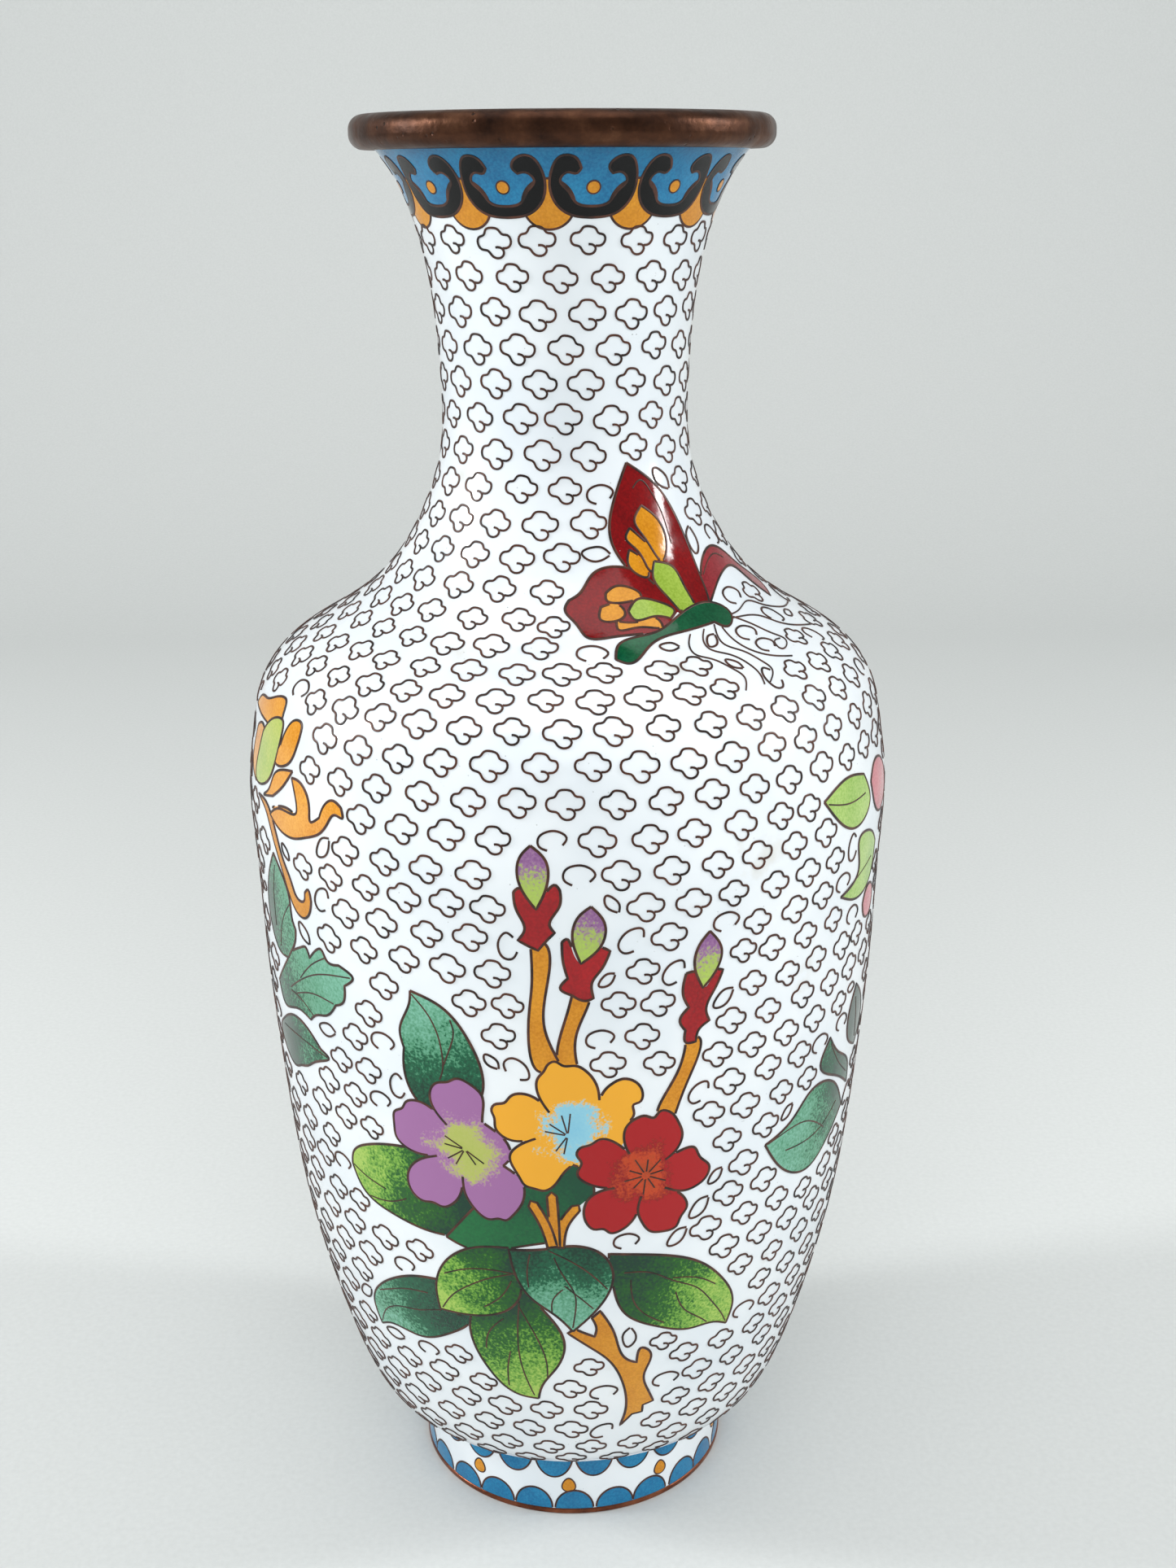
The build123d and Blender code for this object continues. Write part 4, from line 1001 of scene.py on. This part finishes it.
peony = [
    (
        ["peony_petals"], peony_petals, [],
        plain_enamel("peony_pink", (176, 84, 96), (206, 122, 130)), "mauve_enamel",
    ),
    (
        ["peony_leaves"], peony_leaves, [[(-0.4, 103.2), (5, 104.6), (11, 106)], [(-6, 119.4), (0, 118), (6, 118)]],
        plain_enamel("peony_leaf", (128, 170, 66), (172, 200, 110)), "green_enamel",
    ),
    (
        ["peony_low_leaves"], peony_low_leaves,
        [
            [(-14.4, 65.2), (-6, 66), (1, 62)],
            [(-10, 62.4), (0, 62.6), (5, 65)],
            [(0, 77.6), (4, 72.6), (8.4, 69)],
            [(9.4, 82), (11, 77), (11.6, 74)],
        ],
        leaf_look("peony_low_leaf", (-14, 60), (10, 70), peony_azimuth, teal_to_dark(0.45)), "teal_enamel",
    ),
]

back_azimuth = 180
back_x, back_s = 0, 78
petal_count = 5
back_petals = [
    petal(back_x, back_s, 90 + 360 / petal_count * i, length=17, breadth=17) for i in range(petal_count)
]
back_branch = outline([(-14, 20), (-9, 34), (-3, 50), (-1, 66)], [(1.4, 66), (0, 50), (-6, 34), (-11, 20)])
back_leaves = [
    outline([(-3.4, 48), (-12, 54), (-22, 52)], [(-29, 46), (-20, 42), (-10, 42)]),
    outline([(-1, 52), (7, 58), (17, 56)], [(26, 49), (16, 44), (6, 45)]),
    outline([(-8, 33), (0, 38), (8, 35)], [(14, 28), (6, 25), (-2, 27)]),
    outline([(-10, 30), (-18, 32), (-25, 28)], [(-29, 21), (-21, 19), (-13, 22)]),
]
back_look = radial_enamel(
    "back_blossom", (back_x, back_s), 8.5,
    [(0.0, (170, 190, 90)), (0.55, (196, 150, 60)), (0.9, RED), (1.0, DEEP_RED)], back_azimuth,
)
back_blossom = [
    (["back_blossom_centre"], [round_shape(back_x, back_s, 4.4)], [], back_look, "pale_green_enamel"),
    (["back_blossom"], back_petals, [], back_look, "red_enamel"),
    (["back_branch"], [back_branch], [], OCHRE, "ochre_enamel"),
    (
        ["back_leaves"], back_leaves,
        [
            [(-4, 47.6), (-15, 47.6), (-28, 46)],
            [(0, 51.6), (12, 50.8), (25, 49)],
            [(-7, 32.6), (3, 31.4), (13, 28.4)],
            [(-11, 28), (-20, 25.6), (-28, 21.4)],
        ],
        leaf_look("back_leaf", (-27, 30), (20, 50), back_azimuth, teal_to_dark(0.5)), "teal_enamel",
    ),
]

# ---- Build the motifs --------------------------------------------------------------------------------------

bud_looks = [
    shaded_enamel(f"bud_{k}", (x, s), (x, s + 9), BUD_STOPS, 0, grain=0.25)
    for k, (x, s) in enumerate([(-4.7, 110.6), (1.7, 102), (19.9, 96.2)])
]
thin_wire = 0.24
drawn = []  # every shape with its azimuth, for keeping the cloud wires clear


def build_motif(cells, lines, stamens, azimuth, wires_node):
    """Tiles for each cell, and one piece for all the wires that fence and vein them."""
    meshes = tiles([shapes for _, shapes, _, _, _ in cells], azimuth)
    wires, front = [], []
    for (nodes, shapes, veins, look, slot), mesh in zip(cells, meshes):
        hidden_by = list(front)
        for shape in shapes:
            for fence in shape.fences:
                wires += [strip(run, azimuth, wire_width) for run in visible_runs(fence, front)]
            front.append(shape)
            drawn.append((azimuth, shape.edge))
        for vein in veins:
            covered = visible_runs(smooth(vein), hidden_by)
            wires += [strip(run, azimuth, thin_wire, foot=CELL_TOP + 0.01) for run in covered]
        piece = add_piece(nodes[0] + "_tile", *mesh, look or bud_looks[0], nodes, slot)
        if look is None:
            paint_buds(piece)
    for points in lines:
        wires += [strip(run, azimuth, thin_wire) for run in visible_runs(smooth(points), front)]
    for points in stamens:
        wires.append(strip(smooth(points), azimuth, thin_wire, foot=CELL_TOP + 0.01))
    add_piece(wires_node + "_drawn", *pooled(wires), WIRE, [wires_node], "wire")


def paint_buds(piece):
    """Give each bud its own run of colour, by where its faces lie."""
    for look in bud_looks[1:]:
        piece.data.materials.append(look)
    for face in piece.data.polygons:
        face.material_index = 0 if face.center.x < -0.001 else (1 if face.center.x < 0.011 else 2)


build_motif(spray, [], spray_lines + red_stamens, 0, "spray_wires")
build_motif(butterfly, butterfly_lines, [], butterfly_azimuth, "butterfly_wires")
build_motif(chrysanthemum, [], [], mum_azimuth, "chrysanthemum_wires")
build_motif(peony, [], [], peony_azimuth, "peony_wires")
back_stamens = [
    [(back_x + near * cos(turn), back_s + near * sin(turn)), (back_x + far * cos(turn), back_s + far * sin(turn))]
    for k in range(stamen_count)
    for turn, near, far in [(tau * k / stamen_count, 0.8, 3.6)]
]
build_motif(back_blossom, [], back_stamens, back_azimuth, "back_wires")

# ---- Cloud-shaped cloisons in rows over the white ground ---------------------------------------------------

cloud = smooth([
    (1.2, -0.8), (2.0, -0.75), (2.6, 0), (2.3, 0.9), (1.5, 1.1), (1.1, 1.7), (0.1, 2.1), (-0.9, 1.9),
    (-1.4, 1.2), (-2.2, 1.0), (-2.65, 0.1), (-2.2, -0.7), (-1.2, -1.0), (-0.7, -1.7), (0.4, -2.1),
    (1.1, -1.7), (1.2, -1.1), (0.7, -0.65), (0.1, -0.6),
], step=0.3)
hook = smooth([(1.6, -0.9), (2.4, 0.2), (1.2, 1.4), (-0.6, 1.6), (-2.2, 0.7), (-2.3, -0.6), (-1.0, -1.5)], step=0.35)
oval = smooth([(2.5, 0), (1.3, 1.1), (-0.6, 1.25), (-2.5, 0.2), (-1.4, -1.0), (0.8, -1.1), (2.3, -0.3)], step=0.35)

cell_size = 0.25  # of the map that says where wires and motifs already lie
map_columns = int(tau * belly_radius / cell_size)
map_rows = int((rim_s + 10) / cell_size)


def map_place(turn, s):
    """The map's columns and rows for angles round the vase and heights up the surface."""
    column = np.floor(np.mod(turn, tau) / tau * map_columns).astype(int) % map_columns
    row = np.clip(np.floor((s + 4) / cell_size).astype(int), 0, map_rows - 1)
    return column, row


def spread(taken, amount):
    """The map with its taken cells grown by an amount each way."""
    grown = taken.copy()
    for _ in range(amount):
        wider = grown | np.roll(grown, 1, axis=0) | np.roll(grown, -1, axis=0)
        wider[:, 1:] |= grown[:, :-1]
        wider[:, :-1] |= grown[:, 1:]
        grown = wider
    return grown


motif_map = np.zeros((map_columns, map_rows), dtype=bool)
for azimuth, edge in drawn:
    low, high = edge.min(axis=0), edge.max(axis=0)
    xs = np.arange(low[0], high[0], cell_size * 0.35)
    rows = np.arange(low[1], high[1], cell_size * 0.7)
    grid = np.array([(x, s) for s in rows for x in xs])
    grid = np.concatenate([grid[inside(grid, edge)], edge])
    motif_map[map_place(radians(azimuth) + grid[:, 0] / radius_at(grid[:, 1]), grid[:, 1])] = True
line_map = np.zeros_like(motif_map)
for points in butterfly_lines:
    path = smooth(points, step=0.15)
    line_map[map_place(radians(butterfly_azimuth) + path[:, 0] / radius_at(path[:, 1]), path[:, 1])] = True
blocked = spread(motif_map, 3) | spread(line_map, 1)
placed = np.zeros_like(motif_map)

cloud_pitch = 7.15
row_pitch = 5.05
first_row_s = 2.2
last_row_s = 212.4
clouds = []


def try_cloud(shape, turn, s, size, lean):
    """Set a cloison if it touches neither a motif nor another cloison."""
    if s < 1.6 or s > last_row_s + 0.8:
        return False
    tilt = np.array([[cos(lean), -sin(lean)], [sin(lean), cos(lean)]])
    path = (shape * size) @ tilt.T + (0, s)
    turns = turn + path[:, 0] / radius_at(path[:, 1])
    place = map_place(turns, path[:, 1])
    if blocked[place].any() or placed[place].any() or path[:, 1].min() < 0.2:
        return False
    clouds.append((path, turn))
    for across in (-2, 0, 2):
        for up in (-2, 0, 2):
            placed[(place[0] + across) % map_columns, np.clip(place[1] + up, 0, map_rows - 1)] = True
    return True


row_count = int((last_row_s - first_row_s) / row_pitch) + 1
wanted = []
for row in range(row_count):
    s = first_row_s + row * (last_row_s - first_row_s) / (row_count - 1)
    count = round(tau * radius_at(s) / cloud_pitch)
    start = random.uniform(-0.08, 0.08) + (0.5 if row % 2 else 0)
    for k in range(count):
        turn = tau * (k + start + random.uniform(-0.05, 0.05)) / count
        size = random.uniform(0.92, 1.06)
        wanted.append((turn, s + random.uniform(-0.25, 0.25), size, random.uniform(-0.12, 0.12)))

missed = [place for place in wanted if not try_cloud(cloud, *place)]
for turn, s, size, lean in missed:
    radius = radius_at(s)
    tries = [
        (form, turn + across / radius, s + up, size * smaller, lean + extra)
        for form, smaller in ((cloud, 0.94), (hook, 0.9), (oval, 0.85), (oval, 0.62))
        for extra in ((0,) if form is cloud else (0, 0.8, -0.8, 1.5))
        for across, up in ((0, 0), (1.2, 0), (-1.2, 0), (0, 1.1), (0, -1.1), (2, 0.8), (-2, 0.8), (2, -0.8), (-2, -0.8))
    ]
    any(try_cloud(*attempt) for attempt in tries)

cloud_wire = 0.32
add_piece(
    "cloud_wires", *pooled([strip(path, turn * 180 / pi, cloud_wire) for path, turn in clouds]),
    WIRE, [], "wire",
)

# ---- Ground, lining and the copper's edges -----------------------------------------------------------------

collar_s = 217.4
add_piece(
    "white_ground", *lathe(coat_section(GROUND_TOP, enamel_wall - 0.1, -drawn_edge + 0.4, rim_s - 0.2), 360),
    WHITE, ["ground_enamel", "collar_white_enamel"], "white_enamel",
)

# The turquoise band under the mouth, with its heads, discs and lappets.
add_piece(
    "turquoise_band",
    *lathe(coat_section(CELL_TOP + 0.05, GROUND_TOP - 0.002, collar_s, rim_s - 0.1, step=0.5), 288),
    TURQUOISE, ["collar_enamel"], "turquoise_enamel",
)
head_count = 12
head_turn = 10
half_head = [
    (0, 215.9), (3.2, 216.4), (5.2, 218), (6.2, 220.6), (6.1, 223), (4.9, 225.2), (3.1, 225), (2, 223.2),
]
half_curl = [(2.6, 222.4), (3.8, 222.6), (4.8, 221.4), (3.6, 219.8), (2.4, 218.1)]
mirrored = [(-x, s) for x, s in reversed(half_head)]
mirrored_curl = [(-x, s) for x, s in reversed(half_curl)]
head = outline(half_head, half_curl + [(0, 217.5)] + mirrored_curl, mirrored[:-1])
disc = round_shape(0, 220.3, 0.95)
lappet = round_shape(0, 217.9, 3.7)
collar_top = CELL_TOP - 0.02
heads, discs, lappets, collar_wires = [], [], [], []
for k in range(head_count):
    azimuth = head_turn + 360 / head_count * k
    lappet_azimuth = azimuth + 180 / head_count
    heads += tiles([[head]], azimuth, top=0.02, foot=CELL_TOP + 0.048, grid=1.0)
    discs += tiles([[disc]], azimuth, top=collar_top, foot=CELL_TOP + 0.048, grid=0.6)
    lappets += tiles([[lappet]], lappet_azimuth, top=CELL_TOP + 0.01, foot=GROUND_TOP - 0.002, grid=1.0)
    collar_wires.append(strip(head.edge, azimuth, wire_width, top=0.0, closed=True))
    collar_wires.append(strip(disc.edge, azimuth, thin_wire, top=0.01, closed=True))
    collar_wires.append(strip(lappet.edge, lappet_azimuth, wire_width, top=0.045, closed=True))
add_piece("collar_heads_tiles", *pooled(heads), BLACK, ["collar_heads"], "black_enamel")
add_piece("collar_discs_tiles", *pooled(discs), OCHRE, ["collar_discs"], "ochre_enamel")
add_piece("collar_lappets_tiles", *pooled(lappets), OCHRE, ["collar_lappets"], "ochre_enamel")
add_piece("collar_wires_drawn", *pooled(collar_wires), WIRE, ["collar_wires"], "wire")

# The lining, with the floor inside, and the coat on the underside.
lining_depth = enamel_wall + 1.0
lining_wall = 0.3
stations = np.linspace(-drawn_edge, rim_s - 0.2, 160)
lining_outer = on_surface(np.zeros_like(stations), stations, 0, lining_depth + 0.02) / MM
lining_inner = on_surface(np.zeros_like(stations), stations[::-1], 0, lining_depth + lining_wall) / MM
section = [(0, lining_outer[0][2])] + [(-y, z) for _, y, z in lining_outer]
section += [(-y, z) for _, y, z in lining_inner] + [(0, lining_inner[-1][2])]
add_piece("blue_lining", *disc_lathe(section), LINING, ["lining_enamel"], "inner_enamel")

floor_bottom = foot_height + enamel_wall * float(slope[0][0])
foot_enamel_outer = foot_radius - 0.1
foot_outer = foot_enamel_outer - 0.7
foot_inner = foot_outer - 1.4
underside = [
    (0, floor_bottom - 0.6), (foot_inner - 2.2, floor_bottom - 0.6), (foot_inner - 0.8, floor_bottom - 0.75),
    (foot_inner - 0.05, floor_bottom - 1.3), (foot_inner - 0.05, floor_bottom - 0.05), (0, floor_bottom - 0.05),
]
add_piece("blue_underside", *disc_lathe(underside), LINING, ["underside_enamel"], "inner_enamel")


def arc(centre_r, centre_z, radius, start, end, count=8):
    """Points on an arc of the section, angles in degrees from outwards."""
    return [
        (centre_r + radius * cos(radians(a)), centre_z + radius * sin(radians(a)))
        for a in np.linspace(start, end, count)
    ]


rim_round = 2.15
bore_round = 1.2
rim_bore = throat_radius - enamel_wall - 1.35
rim_section = (
    arc(mouth_radius - rim_round, mouth_bottom + rim_round, rim_round, -88, 0, 12)
    + arc(mouth_radius - rim_round, height - rim_round, rim_round, 0, 90, 12)
    + arc(rim_bore + bore_round, height - bore_round, bore_round, 90, 180, 8)
    + [(rim_bore, mouth_bottom + 0.6), (rim_bore + 0.6, mouth_bottom + 0.02)]
)
add_piece("rolled_rim", *lathe(rim_section, 360), RIM, ["mouth_rim"], "patinated_copper")

foot_section = (
    [(foot_inner, floor_bottom - 0.1), (foot_inner, 0.3), (foot_inner + 0.3, 0)]
    + [(foot_radius - 0.3, 0)]
    + arc(foot_radius - 0.3, 0.3, 0.3, -80, 0, 5)
    + arc(foot_radius - 0.3, flange_height - 0.3, 0.3, 0, 90, 5)
    + [(foot_outer, flange_height), (foot_outer, floor_bottom - 0.1)]
)
add_piece("foot_copper", *lathe(foot_section, 288), COPPER, ["foot_ring"], "copper")

# ---- Foot: a white band with two rows of scallops and drops between them --------------------------------------

foot_ground = foot_enamel_outer - 0.1
foot_band = [
    (foot_outer + 0.02, flange_height + 0.02), (foot_ground, flange_height + 0.02),
    (foot_ground, foot_height + 0.4), (foot_outer + 0.02, foot_height + 0.4),
]
add_piece("foot_white", *lathe(foot_band, 288), WHITE, ["foot_enamel"], "white_enamel")


def foot_strip_points(path, azimuth, lift):
    turn = radians(azimuth) + path[:, 0] / foot_enamel_outer
    radius = foot_enamel_outer + lift
    return np.stack([radius * np.sin(turn), -radius * np.cos(turn), path[:, 1]], axis=-1) * MM


def foot_tile(first, second, azimuth):
    """A thin tile on the foot's wall, between two runs of (x, level) points with the same count."""
    border = np.concatenate([first, second])
    upper = foot_strip_points(border, azimuth, -0.03)
    lower = foot_strip_points(border, azimuth, -0.098)
    count, total = len(first), len(border)
    faces = []
    for i in range(count - 1):
        a, b, c, d = i, i + 1, count + i + 1, count + i
        faces += [(a, b, c, d), (total + d, total + c, total + b, total + a)]
        faces += [(b, a, total + a, total + b), (d, c, total + c, total + d)]
    last = count - 1
    faces += [(0, count, total + count, total), (count + last, last, total + last, total + count + last)]
    return np.concatenate([upper, lower]), faces


def foot_wire(path, azimuth, width=wire_width * 0.8):
    along = np.gradient(path, axis=0)
    along /= np.maximum(np.hypot(along[:, 0], along[:, 1]), 1e-9)[:, None]
    across = np.stack([-along[:, 1], along[:, 0]], axis=-1)
    ring = [(-0.5, -0.12), (-0.5, -0.02), (0, 0.0), (0.5, -0.02), (0.5, -0.12)]
    rows = [foot_strip_points(path + across * share * width, azimuth, lift) for share, lift in ring]
    vertices = np.stack(rows, axis=1).reshape(-1, 3)
    size, count = len(ring), len(path)
    faces = [
        (k * size + i, k * size + (i + 1) % size, (k + 1) * size + (i + 1) % size, (k + 1) * size + i)
        for k in range(count - 1) for i in range(size)
    ]
    faces.append(tuple(range(size))[::-1])
    faces.append(tuple(range((count - 1) * size, count * size)))
    return vertices, faces


scallop_count = 24
drop_count = 10
scallop_radius = pi * foot_enamel_outer / scallop_count - wire_width / 2
upper_level = foot_height - 0.1
lower_level = flange_height + 0.06
upper_drop = 4.4
lower_rise = 3.7
turns = np.linspace(0.04, pi - 0.04, 24)
upper_tiles, lower_tiles, drop_tiles, foot_wires = [], [], [], []
for k in range(scallop_count):
    azimuth = 360 / scallop_count * (k + 0.5)
    squash = 1.0 + 0.05 * sin(5 * k)
    across, swell = scallop_radius * np.cos(turns), squash * np.sin(turns)
    level = np.stack([across, np.full_like(across, upper_level)], axis=-1)
    hanging = np.stack([across, upper_level - upper_drop * swell], axis=-1)
    upper_tiles.append(foot_tile(level, hanging, azimuth))
    foot_wires.append(foot_wire(hanging, azimuth))
    azimuth = 360 / scallop_count * k + 1.5 * sin(3 * k)
    base = np.stack([across, np.full_like(across, lower_level)], axis=-1)
    standing = np.stack([across, lower_level + lower_rise * swell], axis=-1)
    lower_tiles.append(foot_tile(standing, base, azimuth))
    foot_wires.append(foot_wire(standing, azimuth))
for k in range(drop_count):
    azimuth = 360 / drop_count * k - 2
    drop_turns = np.linspace(0, tau, 29)
    edge = np.stack(
        [1.15 * np.cos(drop_turns) * (1 - 0.25 * np.sin(drop_turns)), 5.9 + 1.35 * np.sin(drop_turns)], axis=-1,
    )
    drop_tiles.append(foot_tile(edge[1:14], edge[15:28][::-1], azimuth))
    foot_wires.append(foot_wire(edge, azimuth, thin_wire))
add_piece("foot_upper_tiles", *pooled(upper_tiles), TURQUOISE, ["foot_scallops_upper"], "turquoise_enamel")
add_piece("foot_lower_tiles", *pooled(lower_tiles), TURQUOISE, ["foot_scallops_lower"], "turquoise_enamel")
add_piece("foot_drop_tiles", *pooled(drop_tiles), OCHRE, ["foot_drops"], "ochre_enamel")
add_piece("foot_wires", *pooled(foot_wires), WIRE, [], "wire")

# The copper body is hidden between its coats, and keeps the CAD shape.
for node in ("copper_lower_body", "copper_upper_body", "copper_neck"):
    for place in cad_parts[node].material_slots:
        place.material = COPPER

# ---- Floor, light and camera ---------------------------------------------------------------------------------


def paper(name, colour):
    looks = Looks(name)
    fibre = looks.remap(looks.noise(900.0, detail=4.0), 0.3, 0.7)
    tone = looks.mix(fibre, tuple(c - 3 for c in colour), tuple(min(c + 3, 255) for c in colour))
    looks.bump((looks.noise(600.0), 0.1, 0.0003))
    return looks.finish(tone, 0.75)


def sweep():
    """A sheet that lies flat under the vase and curves up behind it."""
    wide, front, back, turn_radius, top = 3.0, -2.2, 0.62, 0.35, 2.6
    profile = [(front, 0), (back, 0)]
    profile += [
        (back + turn_radius * sin(radians(a)), turn_radius * (1 - cos(radians(a)))) for a in range(6, 90, 6)
    ]
    profile += [(back + turn_radius, turn_radius), (back + turn_radius, top)]
    vertices = [(side * wide, y, z) for side in (-1, 1) for y, z in profile]
    count = len(profile)
    faces = [(i, count + i, count + i + 1, i + 1) for i in range(count - 1)]
    mesh = bpy.data.meshes.new("sweep")
    mesh.from_pydata(vertices, [], faces)
    mesh.shade_smooth()
    mesh.materials.append(paper("sweep_paper", (206, 209, 208)))
    sheet = bpy.data.objects.new("sweep", mesh)
    bpy.context.scene.collection.objects.link(sheet)


def area_light(name, place, target, size, power, mirrored=True):
    """A soft lamp; one that isn't mirrored lights the vase but doesn't show in its gloss."""
    data = bpy.data.lights.new(name, "AREA")
    data.shape = "RECTANGLE"
    data.size, data.size_y = size
    data.energy = power
    light = bpy.data.objects.new(name, data)
    light.location = place
    light.rotation_euler = (Vector(target) - Vector(place)).to_track_quat("-Z", "Y").to_euler()
    light.visible_glossy = mirrored
    bpy.context.scene.collection.objects.link(light)


sweep()
area_light("left_lamp", (-0.85, -0.03, 0.50), (0, 0, 0.14), (0.12, 0.42), 5.0)
area_light("right_lamp", (0.85, -0.03, 0.50), (0, 0, 0.14), (0.10, 0.40), 4.0)
area_light("overhead", (0, -0.2, 1.5), (0, 0, 0.1), (1.6, 1.2), 9)
area_light("front_fill", (0, -1.3, 0.7), (0, 0, 0.1), (1.6, 1.0), 13, mirrored=False)

world = bpy.data.worlds.new("room")
bpy.context.scene.world = world
world.use_nodes = True
world.node_tree.nodes["Background"].inputs["Color"].default_value = (0.97, 1.0, 0.99, 1)
world.node_tree.nodes["Background"].inputs["Strength"].default_value = 0.27
bpy.context.scene.view_settings.view_transform = "Standard"

pitch, yaw, roll = radians(18.01), radians(0.631), radians(-0.301)
forward = Vector((sin(yaw) * cos(pitch), cos(yaw) * cos(pitch), -sin(pitch)))
right = Vector((cos(yaw), -sin(yaw), 0))
up = right.cross(forward)
across = right * cos(roll) + up * sin(roll)
upward = up * cos(roll) - right * sin(roll)
camera_data = bpy.data.cameras.new("camera")
camera_data.lens = 43.49
camera_data.sensor_width = 36
camera_data.clip_start = 0.01
camera = bpy.data.objects.new("camera", camera_data)
camera.matrix_world = Matrix((
    (across.x, upward.x, -forward.x, 0),
    (across.y, upward.y, -forward.y, -0.30069),
    (across.z, upward.z, -forward.z, 0.22228),
    (0, 0, 0, 1),
))
bpy.context.scene.collection.objects.link(camera)
bpy.context.scene.camera = camera
